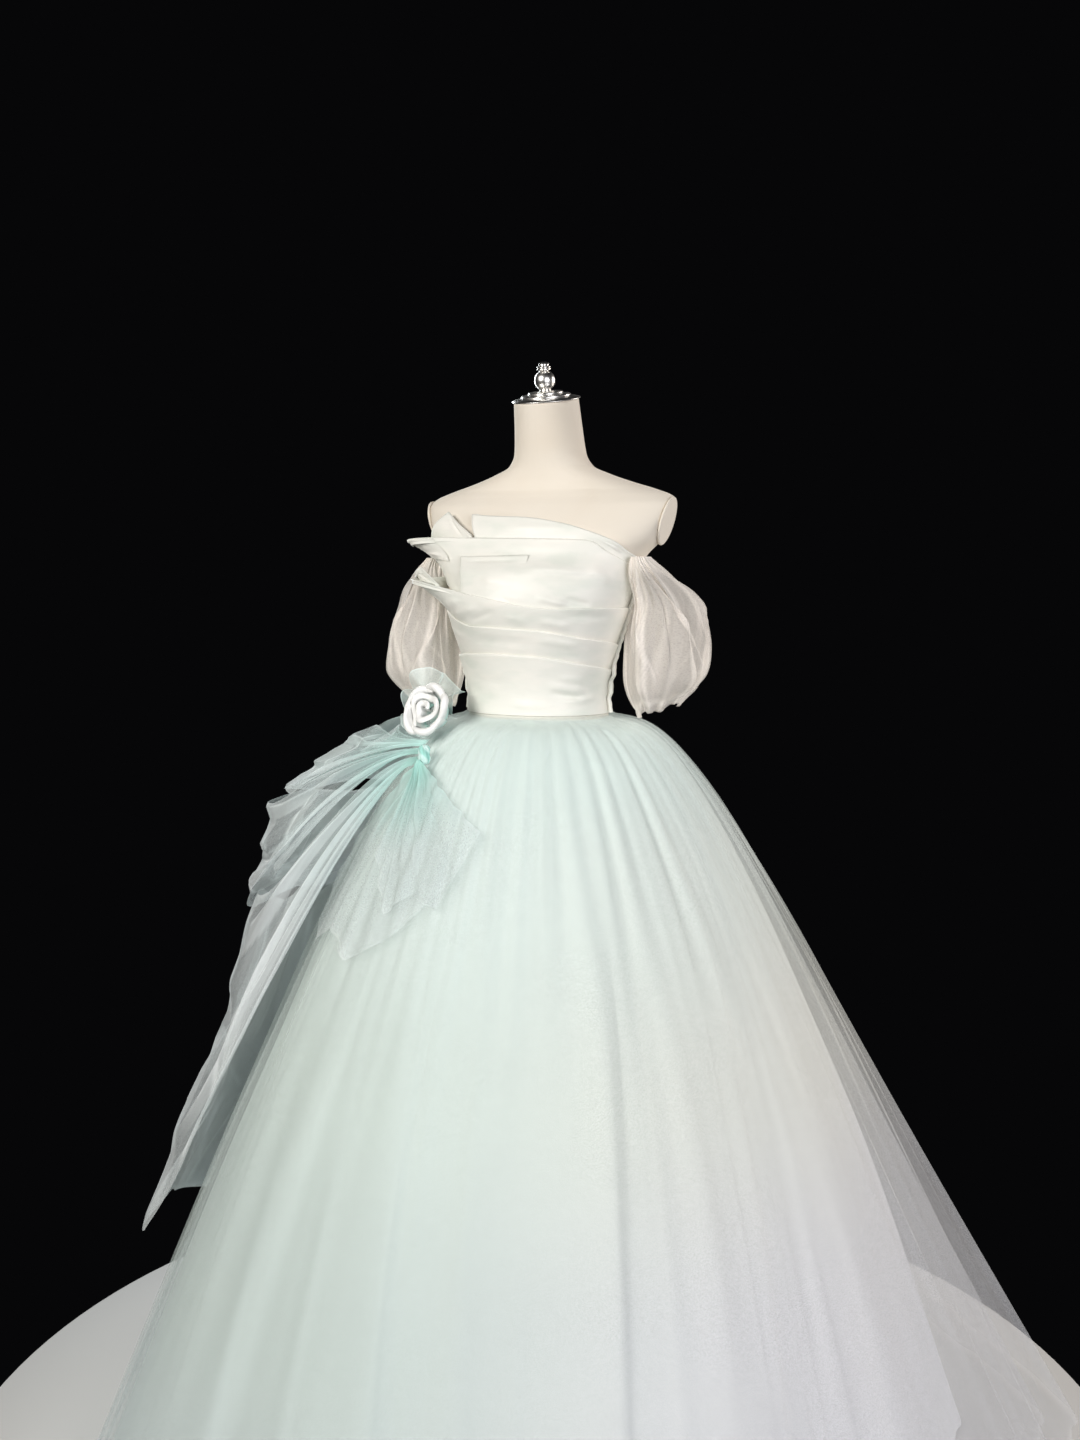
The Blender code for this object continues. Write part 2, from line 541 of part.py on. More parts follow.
def add_drape():
    """Tulle from a knot at the wearer's right front: two loops and a cascade beside it, two tails before."""
    u = np.linspace(0, 1, 9)
    t = np.linspace(0, 1, 4)[:, None]
    for name, row in DRAPE_LOOPS.items():
        start, end, start_top, start_bottom, top, bottom, reach_top, reach_bottom = row
        angle = start + (end - start) * u
        spread = eased(u * 2.0)
        high = start_top + (top - start_top) * spread
        low = start_bottom + (bottom - start_bottom) * spread
        drop = high + (low - high) * t
        bulge = np.sin(np.pi * np.clip(u, 0, 1)) ** 0.8 * (reach_top + (reach_bottom - reach_top) * t)
        out = 0.006 + bulge
        angle = np.broadcast_to(angle, drop.shape)
        add_wall(name, skirt_point(angle, drop, out + TULLE), skirt_point(angle, drop, out), "drape_tulle")
    for name, (left_edge, right_edge, longest, out) in DRAPE_TAILS.items():
        u = np.linspace(-1, 1, 8)
        t = np.linspace(0.12, 1, 6)[:, None]
        middle, half = (left_edge + right_edge) / 2, (right_edge - left_edge) / 2
        end = longest * (1 - 0.28 * np.abs(u) ** 3)
        drop = KNOT["drop"] + 0.014 + (end - KNOT["drop"] - 0.014) * t
        angle = KNOT["angle"] + (middle + half * u - KNOT["angle"]) * t ** 0.8
        add_wall(name, skirt_point(angle, drop, out + TULLE), skirt_point(angle, drop, out), "drape_tulle")
    knot = []
    for polar in np.radians(np.arange(-60, 61, 30)):
        knot.append((KNOT["radius"] * np.cos(polar), 1.3 * KNOT["radius"] * np.sin(polar)))
    obj = add_loft("drape_knot", turned_rings(knot, 12), "drape_tulle")
    obj.location = Vector(skirt_point(KNOT["angle"], np.array(KNOT["drop"]), KNOT["stand_off"]).tolist())


def rose_place():
    """The rose faces out and up from the waist, on the wearer's right front."""
    turn, facing, lift = (np.radians(ROSE[name]) for name in ("angle", "facing", "lift"))
    axis = Vector((np.sin(facing) * np.cos(lift), -np.cos(facing) * np.cos(lift), np.sin(lift)))
    centre = Vector((ROSE["reach"] * np.sin(turn), -ROSE["reach"] * np.cos(turn), ROSE["z"]))
    return Matrix.Translation(centre) @ axis.to_track_quat("Z", "Y").to_matrix().to_4x4()


def add_flower():
    """A rolled satin rose: a bud in five lapped petals, on a tulle ruffle."""
    place = rose_place()
    size = ROSE["radius"]
    bud = size * np.array([(0.30, -0.25), (0.46, 0.05), (0.44, 0.40), (0.22, 0.62)])
    add_loft("rose_bud", turned_rings(bud, 14), "satin").matrix_world = place
    t = np.linspace(0, 1, 4)[:, None]
    for number in range(5):
        u = np.linspace(-1, 1, 6)
        turn = np.radians(72 * number) + u * np.radians(50)
        grids = []
        for inset in (0.0, TULLE):
            lap = 0.07 * size * (u + 1)
            radius = (0.50 * size + lap) + 0.36 * size * np.sin(t * np.pi * 0.55) - inset
            height = size * (-0.30 + (0.85 - 0.12 * u * u) * t)
            across, up = radius * np.cos(turn), radius * np.sin(turn)
            grids.append(np.stack(np.broadcast_arrays(across, up, height), axis=-1))
        add_wall(f"rose_petal_{number + 1}", grids[0], grids[1], "satin").matrix_world = place
    turn = np.arange(25) * 2 * np.pi / 25
    radius = np.linspace(RUFFLE["inner"], RUFFLE["outer"], 3)[:, None]
    share = (radius - RUFFLE["inner"]) / (RUFFLE["outer"] - RUFFLE["inner"])
    wave = RUFFLE["wave_height"] * share * np.cos(RUFFLE["waves"] * turn)
    across, up = radius * np.cos(turn), radius * np.sin(turn)
    grids = [np.stack(np.broadcast_arrays(across, up, wave - RUFFLE["behind"] - inset), axis=-1)
             for inset in (0.0, TULLE)]
    beside = Matrix.Translation((RUFFLE["aside"], RUFFLE["above"], 0.0))
    add_wall("rose_ruffle", grids[0], grids[1], "drape_tulle", closed=True).matrix_world = place @ beside


for old in list(bpy.data.objects):
    bpy.data.objects.remove(old, do_unlink=True)
add_stand()
add_form()
add_cap_and_finial()
add_bodice_front()
add_bodice_folds()
add_bodice_sides_and_back()
add_zip()
add_sleeves()
add_skirt()
add_drape()
add_flower()
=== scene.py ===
"""An off-shoulder ball gown of ivory satin and mint tulle, on a limbless dress form.

Metres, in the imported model's own frame: +Z up, the gown facing -Y, the wearer's left at +X. Angles round the
body are in degrees from the front, with +90 at the wearer's left. The sections follow the gown as it is put
together: stand, form, skirt, bodice, zip, sleeves, side drape and rose, then the floor, lights and camera.
"""

import bmesh
import bpy
import numpy as np
from mathutils import Matrix, Vector


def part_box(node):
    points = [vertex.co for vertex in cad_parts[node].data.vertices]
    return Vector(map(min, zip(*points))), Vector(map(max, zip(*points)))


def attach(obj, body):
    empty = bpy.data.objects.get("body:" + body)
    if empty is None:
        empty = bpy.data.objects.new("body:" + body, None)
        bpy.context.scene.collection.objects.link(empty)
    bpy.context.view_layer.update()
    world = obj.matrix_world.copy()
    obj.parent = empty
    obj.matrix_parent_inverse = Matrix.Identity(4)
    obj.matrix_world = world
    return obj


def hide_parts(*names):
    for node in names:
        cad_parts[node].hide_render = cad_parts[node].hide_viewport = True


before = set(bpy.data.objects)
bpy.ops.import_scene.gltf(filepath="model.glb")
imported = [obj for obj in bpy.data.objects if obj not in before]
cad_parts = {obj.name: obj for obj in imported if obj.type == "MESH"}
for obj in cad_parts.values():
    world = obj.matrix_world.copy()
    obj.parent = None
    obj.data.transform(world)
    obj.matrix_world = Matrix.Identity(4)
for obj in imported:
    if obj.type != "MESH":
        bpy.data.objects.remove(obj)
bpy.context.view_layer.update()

# ---------------------------------------------------------------------------------------------------- Stand
# A round steel base and its pole, sprayed with satin-white powder paint. The base stands on the floor and the
# pole screws up into a collar under the form.

BASE_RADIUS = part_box("stand_base")[1].x
BASE_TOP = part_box("stand_base")[1].z
POLE_RADIUS = 0.0125
FORM_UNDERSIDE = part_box("stand_pole")[1].z


def linear(code):
    """sRGB hex to linear RGBA."""
    value = np.array([int(code[i:i + 2], 16) for i in (0, 2, 4)]) / 255
    value = np.where(value <= 0.04045, value / 12.92, ((value + 0.055) / 1.055) ** 2.4)
    return (*value.tolist(), 1.0)


def add_node(material, kind, values=(), links=(), stops=(), **settings):
    """One node, with its properties, its inputs' own values and the sockets that feed its inputs.

    stops are a colour ramp's (place, hex) pairs. It eases from one to the next.
    """
    made = material.node_tree.nodes.new(kind)
    for key, value in settings.items():
        setattr(made, key, value)
    for key, value in dict(values).items():
        made.inputs[key].default_value = value
    for key, socket in dict(links).items():
        material.node_tree.links.new(socket, made.inputs[key])
    if stops:
        made.color_ramp.interpolation = "EASE"
        elements = made.color_ramp.elements
        while len(elements) < len(stops):
            elements.new(0.5)
        for element, (place, code) in zip(elements, stops):
            element.position = place
            element.color = linear(code)
    return made


def new_material(name, **values):
    """A material whose Principled shader has these constants. Names use _ for a space."""
    material = bpy.data.materials.new(name)
    material.use_nodes = True
    shader = material.node_tree.nodes["Principled BSDF"]
    for key, value in values.items():
        shader.inputs[key.replace("_", " ")].default_value = value
    return material


def feed(material, **sockets):
    """Links sockets to the Principled shader's inputs."""
    shader = material.node_tree.nodes["Principled BSDF"]
    for key, socket in sockets.items():
        material.node_tree.links.new(socket, shader.inputs[key.replace("_", " ")])


def eased(value):
    """0 to 1 with level ends."""
    value = np.clip(value, 0, 1)
    return value * value * (3 - 2 * value)


def points(x, y, z):
    """A grid of points from three coordinates that broadcast together."""
    return np.stack(np.broadcast_arrays(x, y, z), axis=-1)


def add_surface(name, grid, material, around=False, axis=(0.0, 0.0), merge=False, cover=None):
    """A smooth mesh through a grid of points, rows by columns. Its UV map is in metres, across then along.

    Its faces point away from the upright line at axis. around joins the last column to the first, and merge
    closes the poles of a turned shape. cover is kept as an attribute: what each point adds to a net's opacity.
    """
    rows, columns = grid.shape[:2]
    index = np.arange(rows * columns).reshape(rows, columns)
    ring = np.concatenate([grid, grid[:, :1]], axis=1) if around else grid
    if around:
        index = np.concatenate([index, index[:, :1]], axis=1)
    across = np.concatenate([[0], np.cumsum(np.linalg.norm(np.diff(ring, axis=1), axis=2).mean(axis=0))])
    along = np.concatenate([[0], np.cumsum(np.linalg.norm(np.diff(ring, axis=0), axis=2).mean(axis=1))])
    uv = np.stack(np.broadcast_arrays(across[None, :], along[:, None]), axis=-1)
    corners = [(slice(None, -1), slice(None, -1)), (slice(None, -1), slice(1, None)),
               (slice(1, None), slice(1, None)), (slice(1, None), slice(None, -1))]
    quads = np.stack([index[c] for c in corners], axis=-1).reshape(-1, 4)
    uvs = np.stack([uv[c] for c in corners], axis=2).reshape(-1, 4, 2)
    places = grid.reshape(-1, 3)[quads]
    normal = np.cross(places[:, 2] - places[:, 0], places[:, 3] - places[:, 1])
    outward = places.mean(axis=1) - np.array([*axis, 0.0])
    if (normal[:, :2] * outward[:, :2]).sum() < 0:
        quads, uvs = quads[:, ::-1], uvs[:, ::-1]
    mesh = bpy.data.meshes.new(name)
    mesh.vertices.add(rows * columns)
    mesh.vertices.foreach_set("co", grid.astype(np.float32).ravel())
    mesh.loops.add(quads.size)
    mesh.loops.foreach_set("vertex_index", quads.astype(np.int32).ravel())
    mesh.polygons.add(len(quads))
    mesh.polygons.foreach_set("loop_start", np.arange(0, quads.size, 4, dtype=np.int32))
    mesh.uv_layers.new(name="UVMap").data.foreach_set("uv", uvs.astype(np.float32).ravel())
    mesh.update(calc_edges=True)
    mesh.validate()
    if cover is not None:
        cover = np.broadcast_to(cover, (rows, columns)).astype(np.float32)
        mesh.attributes.new("cover", "FLOAT", "POINT").data.foreach_set("value", cover.ravel())
    if merge:
        editable = bmesh.new()
        editable.from_mesh(mesh)
        bmesh.ops.remove_doubles(editable, verts=editable.verts, dist=1e-6)
        editable.to_mesh(mesh)
        editable.free()
    mesh.shade_smooth()
    mesh.materials.append(material)
    obj = bpy.data.objects.new(name, mesh)
    bpy.context.scene.collection.objects.link(obj)
    return obj


def turned(profile, sides=96, steps=6):
    """A profile of (radius, height) corners turned about +Z, each span cut in steps."""
    profile = np.array(profile)
    at = np.linspace(0, len(profile) - 1, (len(profile) - 1) * steps + 1)
    radius, height = (np.interp(at, np.arange(len(profile)), profile[:, i])[:, None] for i in (0, 1))
    turn = np.arange(sides) * 2 * np.pi / sides
    return points(radius * np.cos(turn), radius * np.sin(turn), height)


def put_on(obj, slot, *nodes):
    """The piece stands for these CAD nodes, which it hides, and rides on the fixed body. slot is not used."""
    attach(obj, "root")
    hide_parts(*nodes)


# Powder coat on steel: a satin film with a faint orange peel, about 2 mm across.
powder_coat = new_material("powder_coated_steel", Base_Color=linear("E9E8E4"), IOR=1.5)
place = add_node(powder_coat, "ShaderNodeTexCoord").outputs["Object"]
peel, dust = (add_node(powder_coat, "ShaderNodeTexNoise", {"Scale": scale, "Detail": detail},
                       {"Vector": place}).outputs["Fac"] for scale, detail in ((500.0, 2.0), (9.0, 3.0)))
feed(powder_coat,
     Roughness=add_node(powder_coat, "ShaderNodeMapRange", {"To Min": 0.34, "To Max": 0.46},
                        {"Value": dust}).outputs["Result"],
     Normal=add_node(powder_coat, "ShaderNodeBump", {"Strength": 0.15, "Distance": 0.0003},
                     {"Height": peel}).outputs["Normal"])

base_edge = [(0.0, 0.0), (BASE_RADIUS - 0.004, 0.0), (BASE_RADIUS, 0.003), (BASE_RADIUS, 0.009),
             (BASE_RADIUS - 0.003, 0.012), (BASE_RADIUS - 0.012, 0.0135), (0.042, 0.017), (0.036, 0.0185),
             (0.034, BASE_TOP), (0.0, BASE_TOP)]
put_on(add_surface("base", turned(base_edge), powder_coat, around=True, merge=True), "stand_paint", "stand_base")
collar = [(0.0, BASE_TOP + 0.0003), (POLE_RADIUS, BASE_TOP + 0.0003), (POLE_RADIUS, FORM_UNDERSIDE - 0.012),
          (0.034, FORM_UNDERSIDE - 0.010), (0.035, FORM_UNDERSIDE - 0.009), (0.035, FORM_UNDERSIDE),
          (0.0, FORM_UNDERSIDE)]
put_on(add_surface("pole", turned(collar, 48), powder_coat, around=True, merge=True), "stand_paint", "stand_pole")

# ---------------------------------------------------------------------------------------------------- Form
# A moulded bust covered in cream cotton jersey, cut flat at the shoulders and square across the neck. It is a
# loft of ellipses, the same ones that the bodice is cut over.

CAP_TILT = np.radians(12.0)
# The flat cut at each shoulder, from a height up, and the middle of the plate that closes it.
SHOULDER = {"x": 0.1965, "z": 1.497, "lean": np.radians(16.0), "softness": 0.004, "from_z": 1.40,
            "plate_y": 0.040, "plate_z": 1.479}
# The height, half width, half depth and centre_y of each ellipse.
BODY = np.array([
    (0.964, 0.1500, 0.1050, 0.006), (1.002, 0.1575, 0.1106, 0.009), (1.058, 0.1550, 0.1100, 0.009),
    (1.124, 0.1360, 0.0990, 0.000), (1.180, 0.1125, 0.0895, -0.007), (1.220, 0.1092, 0.0853, -0.009),
    (1.264, 0.1180, 0.0920, -0.008), (1.311, 0.1320, 0.1040, -0.006), (1.358, 0.1440, 0.1160, -0.002),
    (1.396, 0.1520, 0.1140, 0.007), (1.426, 0.1640, 0.1030, 0.021), (1.455, 0.1920, 0.0940, 0.032),
    (1.482, 0.2100, 0.0840, 0.041), (1.503, 0.2160, 0.0750, 0.047), (1.518, 0.1980, 0.0660, 0.050),
    (1.529, 0.1690, 0.0600, 0.051), (1.540, 0.1330, 0.0580, 0.051), (1.553, 0.0960, 0.0570, 0.050),
    (1.566, 0.0680, 0.0560, 0.048), (1.585, 0.0570, 0.0550, 0.044), (1.623, 0.0530, 0.0535, 0.036),
    (1.666, 0.0500, 0.0520, 0.026),
])


def along(table, column, at):
    """A table's column read at a value of its first column, on a smooth curve that never overshoots."""
    x, y = table[:, 0], table[:, column]
    step = np.diff(x)
    slope = np.diff(y) / step
    level = slope[1:] * slope[:-1] <= 0
    joined = np.where(level, 1.0, slope[1:] + slope[:-1])
    middle = np.where(level, 0.0, 2 * slope[1:] * slope[:-1] / joined)
    ends = np.concatenate([slope[:1], middle, slope[-1:]])
    at = np.clip(at, x[0], x[-1])
    i = np.clip(np.searchsorted(x, at, side="right") - 1, 0, len(step) - 1)
    t = (at - x[i]) / step[i]
    return (y[i] * (1 + 2 * t) * (1 - t) ** 2 + ends[i] * step[i] * t * (1 - t) ** 2
            + y[i + 1] * t * t * (3 - 2 * t) + ends[i + 1] * step[i] * t * t * (t - 1))


def body_point(angle, z, out=0.0):
    """A point of the form's surface, moved out level: an ellipse's point at that angle and height."""
    turn = np.radians(angle)
    half_width, half_depth, centre_y = (along(BODY, i, z) for i in (1, 2, 3))
    return points((half_width + out) * np.sin(turn), centre_y - (half_depth + out) * np.cos(turn), z)


def lower_of(a, b, softness):
    """The lesser of two values, rounded where they cross."""
    return 0.5 * (a + b - np.sqrt((a - b) ** 2 + softness ** 2))


heights = np.concatenate([np.linspace(BODY[0, 0], 1.49, 90), np.linspace(1.4925, 1.57, 60),
                          np.linspace(1.5725, BODY[-1, 0], 34)])[:, None]
skin = body_point(np.arange(0, 360, 2.25)[None, :], heights)
neck = np.clip((skin[..., 2:] - BODY[-3, 0]) / (BODY[-1, 0] - BODY[-3, 0]), 0, 1)
skin[..., 2:] += neck * np.tan(CAP_TILT) * (skin[..., 1:2] - along(BODY, 3, heights)[..., None])
cut = SHOULDER["x"] - np.tan(SHOULDER["lean"]) * (SHOULDER["z"] - skin[..., 2])
# Below the cut the limit is a metre out, clear of the form.
cut = np.where(skin[..., 2] > SHOULDER["from_z"], cut, 1.0)
skin[..., 0] = np.sign(skin[..., 0]) * lower_of(np.abs(skin[..., 0]), cut, SHOULDER["softness"])
# The cover is drawn in under the cap and under the base.
skin = np.concatenate([skin[:1] * (0, 0, 1) + (0, BODY[0, 3], 0), skin, skin[-1:]])
skin[-1] = skin[-1].mean(axis=0)

# Cotton jersey stretched over fibreglass: dry and matt, with a short nap and knit ribs. The real ribs are
# 0.6 mm apart, and are drawn at 1.6 mm so that they show.
RIB_PITCH = 0.0016
jersey = new_material("cotton_jersey", Roughness=0.88, IOR=1.5, Sheen_Weight=0.25, Sheen_Roughness=0.6,
                      Sheen_Tint=linear("FFF6EC"))
place = add_node(jersey, "ShaderNodeTexCoord").outputs["Object"]
tone = add_node(jersey, "ShaderNodeTexNoise", {"Scale": 4.0, "Detail": 3.0, "Roughness": 0.55},
                {"Vector": place}).outputs["Fac"]
fuzz = add_node(jersey, "ShaderNodeTexNoise", {"Scale": 420.0, "Detail": 3.0}, {"Vector": place}).outputs["Fac"]
uv = add_node(jersey, "ShaderNodeTexCoord").outputs["UV"]
ribs = add_node(jersey, "ShaderNodeTexWave", {"Scale": 2 * np.pi / RIB_PITCH / 20, "Distortion": 0.4},
                {"Vector": uv}, bands_direction="X").outputs["Fac"]
knit = add_node(jersey, "ShaderNodeMath", {1: 0.35}, {0: ribs, 2: fuzz}, operation="MULTIPLY_ADD").outputs[0]
feed(jersey,
     Base_Color=add_node(jersey, "ShaderNodeValToRGB", links={"Fac": tone},
                         stops=[(0.30, "E1D6C5"), (0.50, "E6DDCE"), (0.72, "E9E2D5")]).outputs["Color"],
     Normal=add_node(jersey, "ShaderNodeBump", {"Strength": 0.22, "Distance": 0.0006},
                     {"Height": knit}).outputs["Normal"])
put_on(add_surface("bust", skin, jersey, around=True, merge=True), "form_cloth", "form_torso")

# The neck is capped by a stepped chrome disc with a ball finial, and flat ovals close the shoulders.
cap_place = (Matrix.Translation((0.0, BODY[-1, 3], BODY[-1, 0])) @ Matrix.Rotation(CAP_TILT, 4, "X")
             @ Matrix.Translation((0.0, 0.0, 0.0003)))


def moved(grid, place):
    """A grid of points carried by a 4 x 4 matrix."""
    matrix = np.array(place)
    return grid @ matrix[:3, :3].T + matrix[:3, 3]


# Polished chrome plate, a little hazed by handling, with faint wiping marks.
chrome = new_material("polished_chrome", Base_Color=linear("F1EFEB"), Metallic=1.0)
place = add_node(chrome, "ShaderNodeTexCoord").outputs["Object"]
marks = add_node(chrome, "ShaderNodeTexNoise", {"Scale": 60.0, "Detail": 4.0}, {"Vector": place}).outputs["Fac"]
feed(chrome, Roughness=add_node(chrome, "ShaderNodeMapRange", {"To Min": 0.24, "To Max": 0.40},
                                {"Value": marks}).outputs["Result"])

cap_edge = [(0.0, 0.0), (0.0505, 0.0), (0.0530, 0.0004), (0.0535, 0.0014), (0.0525, 0.0026), (0.0470, 0.0042),
            (0.0400, 0.0056), (0.0385, 0.0064), (0.0388, 0.0078), (0.0378, 0.0086), (0.0330, 0.0094),
            (0.0280, 0.0100), (0.0270, 0.0108), (0.0272, 0.0122), (0.0262, 0.0130), (0.0210, 0.0138),
            (0.0175, 0.0142), (0.0, 0.0142)]
put_on(add_surface("cap", moved(turned(cap_edge, 96, 3), cap_place), chrome, around=True, merge=True),
       "chrome", "form_neck_cap")
bow = np.radians(np.linspace(-60, 62, 16))
finial_edge = ([(0.0, 0.0145), (0.0100, 0.0145)] + [(0.016 * np.cos(a), 0.030 + 0.016 * np.sin(a)) for a in bow]
               + [(0.0062, 0.0455), (0.0100, 0.0462), (0.0108, 0.0468), (0.0108, 0.0480), (0.0100, 0.0486),
                  (0.0080, 0.0490), (0.0100, 0.0494), (0.0108, 0.0500), (0.0108, 0.0510), (0.0098, 0.0518),
                  (0.0072, 0.0526), (0.0078, 0.0534), (0.0084, 0.0545), (0.0080, 0.0556), (0.0062, 0.0570),
                  (0.0035, 0.0580), (0.0, 0.0582)])
put_on(add_surface("finial", moved(turned(finial_edge, 64, 3), cap_place), chrome, around=True, merge=True),
       "chrome", "form_finial")

for side, name in ((1, "left"), (-1, "right")):
    normal = np.array([side * np.cos(SHOULDER["lean"]), 0.0, -np.sin(SHOULDER["lean"])])
    up = np.cross(normal, [0.0, side, 0.0])
    slip = (SHOULDER["z"] - SHOULDER["plate_z"]) * np.tan(SHOULDER["lean"])
    centre = np.array([side * (SHOULDER["x"] - slip), SHOULDER["plate_y"], SHOULDER["plate_z"]])
    turn = np.arange(72) * 2 * np.pi / 72
    oval = 0.033 * np.cos(turn)[:, None] * [0.0, 1.0, 0.0] + 0.038 * np.sin(turn)[:, None] * up
    rings = [centre + oval * share + normal * rise for share, rise in
             ((0.0, 0.0003), (0.99, 0.0003), (1.0, 0.0008), (1.0, 0.0022), (0.985, 0.0031), (0.95, 0.0038),
              (0.90, 0.0040), (0.45, 0.0040), (0.0, 0.0040))]
    plate = add_surface(f"arm_plate_{name}", np.array(rings), jersey, around=True, merge=True,
                        axis=(float(centre[0]) - side * 0.01, SHOULDER["plate_y"]))
    put_on(plate, "stand_paint", f"form_arm_plate_{name}")

# ---------------------------------------------------------------------------------------------------- Skirt
# Three layers gathered into the waist seam: an opaque taffeta lining and two layers of sheer tulle, six gores
# each. The tulle hangs in soft folds that start at the gathers, lean over and widen to the hem.

WAIST_Z = 1.1860
HEM_Z = 0.004
# How far the nine swells round the hem stand out, as a share of the reach.
SWELL = 0.022
# The drop below the waist, and the reach from the axis at the front, left, right and back.
OUTER_SKIRT = np.array([
    (0.000, 0.1050, 0.1195, 0.1195, 0.0930), (0.006, 0.1120, 0.1260, 0.1260, 0.1010),
    (0.012, 0.1410, 0.1580, 0.1500, 0.1330), (0.034, 0.1740, 0.1950, 0.1760, 0.1780),
    (0.076, 0.2120, 0.2340, 0.2100, 0.2300), (0.147, 0.2590, 0.2850, 0.2510, 0.2910),
    (0.250, 0.3150, 0.3450, 0.3040, 0.3660), (0.456, 0.4180, 0.4560, 0.3980, 0.4920),
    (0.718, 0.5440, 0.5940, 0.5140, 0.6560), (1.182, 0.7510, 0.8500, 0.7100, 0.9000),
])
UNDER_SKIRT = np.array([
    (0.000, 0.1008, 0.1168, 0.1168, 0.0878), (0.006, 0.1060, 0.1220, 0.1220, 0.0940),
    (0.012, 0.1350, 0.1500, 0.1430, 0.1260), (0.034, 0.1670, 0.1860, 0.1690, 0.1670),
    (0.076, 0.2025, 0.2210, 0.2015, 0.2140), (0.147, 0.2475, 0.2660, 0.2420, 0.2680),
    (0.250, 0.3020, 0.3210, 0.2925, 0.3300), (0.456, 0.4030, 0.4120, 0.3840, 0.4220),
    (0.718, 0.5250, 0.5180, 0.4990, 0.5340), (1.182, 0.7180, 0.6650, 0.6890, 0.7000),
])
HEM_DROP = OUTER_SKIRT[-1, 0]
# Each fold: its angle and drop where it starts, its angle at the hem, and its half width, depth and lean there
# in millimetres. The lean, taken at FOLD_LEAN of its value and at half of that for the fine folds, carries the
# crest sideways, so that one flank is steep and the other long.
FOLD_LEAN = 0.58
FINE_LEAN = 0.5
BROAD_FOLDS = np.array([
    (-88.0, 0.10, -84.0, 46, 16, 52), (-66.0, 0.05, -60.0, 44, 14, 30), (-41.0, 0.16, -30.0, 40, 12, -52),
    (-25.0, 0.22, -25.5, 44, 17, 24), (-10.0, 0.24, 2.0, 38, 12, 54), (13.0, 0.26, 11.0, 40, 11, -24),
    (37.0, 0.08, 26.0, 38, 15, 56), (55.0, 0.10, 42.0, 42, 14, 34), (69.0, 0.06, 48.0, 34, 16, 52),
    (86.0, 0.10, 62.0, 42, 13, -50), (104.0, 0.12, 92.0, 52, 16, 34), (124.0, 0.06, 115.0, 46, 14, -60),
    (141.0, 0.18, 137.0, 52, 17, 34), (163.0, 0.08, 160.0, 40, 13, 56), (182.0, 0.14, 186.0, 56, 18, -34),
    (203.0, 0.06, 207.0, 44, 14, 60), (222.0, 0.20, 231.0, 50, 16, -28), (246.0, 0.10, 253.0, 42, 13, 54),
])
FINE_FOLDS = np.array([
    (-99.0, 0.05, -96.0, 20, 7, 30), (-79.0, 0.03, -75.0, 16, 6, 28), (-57.0, 0.30, -50.0, 18, 7, -30),
    (-36.0, 0.10, -21.0, 15, 6, 28), (-18.0, 0.30, -8.0, 16, 7, 30), (-3.0, 0.20, 9.0, 12, 5, -22),
    (6.0, 0.04, 15.0, 13, 5, 22), (20.0, 0.30, 18.0, 14, 6, 26), (34.0, 0.02, 27.0, 14, 8, 30),
    (47.0, 0.12, 36.0, 14, 6, -26), (60.0, 0.05, 44.0, 15, 8, 32), (74.0, 0.03, 55.0, 14, 7, 30),
    (90.0, 0.20, 79.0, 13, 8, 30), (97.0, 0.04, 88.0, 15, 7, -28), (112.0, 0.22, 104.0, 18, 8, 32),
    (133.0, 0.04, 127.0, 17, 7, 30), (151.0, 0.30, 148.0, 19, 8, -32), (172.0, 0.05, 172.0, 16, 7, 30),
    (192.0, 0.26, 197.0, 18, 8, 32), (213.0, 0.06, 220.0, 17, 7, -28), (234.0, 0.14, 243.0, 18, 8, 30),
])


def turned_from(line, angle):
    """The turn in radians from a line to an angle, the short way round."""
    return np.radians((angle - line + 180) % 360 - 180)


def skirt_reach(table, angle, drop):
    """Reach from the axis: quarter ellipses between the four columns, with nine broad swells round."""
    turn = np.radians(angle)
    front, left, right, back = (along(table, i, drop) for i in (1, 2, 3, 4))
    ahead = np.where(np.cos(turn) > 0, front, back)
    beside = np.where(np.sin(turn) > 0, left, right)
    reach = 1 / np.sqrt((np.sin(turn) / beside) ** 2 + (np.cos(turn) / ahead) ** 2)
    return reach * (1 + SWELL * (drop / table[-1, 0]) ** 1.2 * np.cos(9 * turn + 0.65))


def folded(folds, angle, drop, reach, strength):
    """The rise and the sideways shift in metres that a table of folds gives at each point.

    Each fold is a bell across its line. The line runs from its start to the hem, and the bell grows along it.
    """
    rise, shift = np.zeros(np.broadcast(angle, drop).shape), np.zeros(np.broadcast(angle, drop).shape)
    for start, first, hem, width, depth, lean in folds:
        share = np.clip((drop - first) / (HEM_DROP - first), 0, 1)
        line = start + (hem - start) * share ** 0.7
        apart = turned_from(line, angle) * reach
        grown = eased((drop - first) / 0.35) * (0.45 + 0.55 * share) * strength
        bell = np.exp(-(apart / (width / 1000 * (0.55 + 0.45 * share))) ** 2) * grown
        rise += depth / 1000 * bell
        shift += FOLD_LEAN * lean / 1000 * bell
    return rise, shift


def gathers(angle, drop, seed):
    """Fine uneven gathers at the waist seam that die out down the skirt: two beating sines of the angle."""
    turn = np.radians(angle)
    ripple = np.sin(47 * turn + seed) + 0.7 * np.sin(71 * turn + 2.1 * seed + 1.5 * np.sin(5 * turn))
    fading = 1 - 0.75 * eased((drop - 0.1) / 0.5)
    return ripple * eased(drop / 0.02) * (0.0015 + 0.0010 * eased(drop / 0.15)) * fading


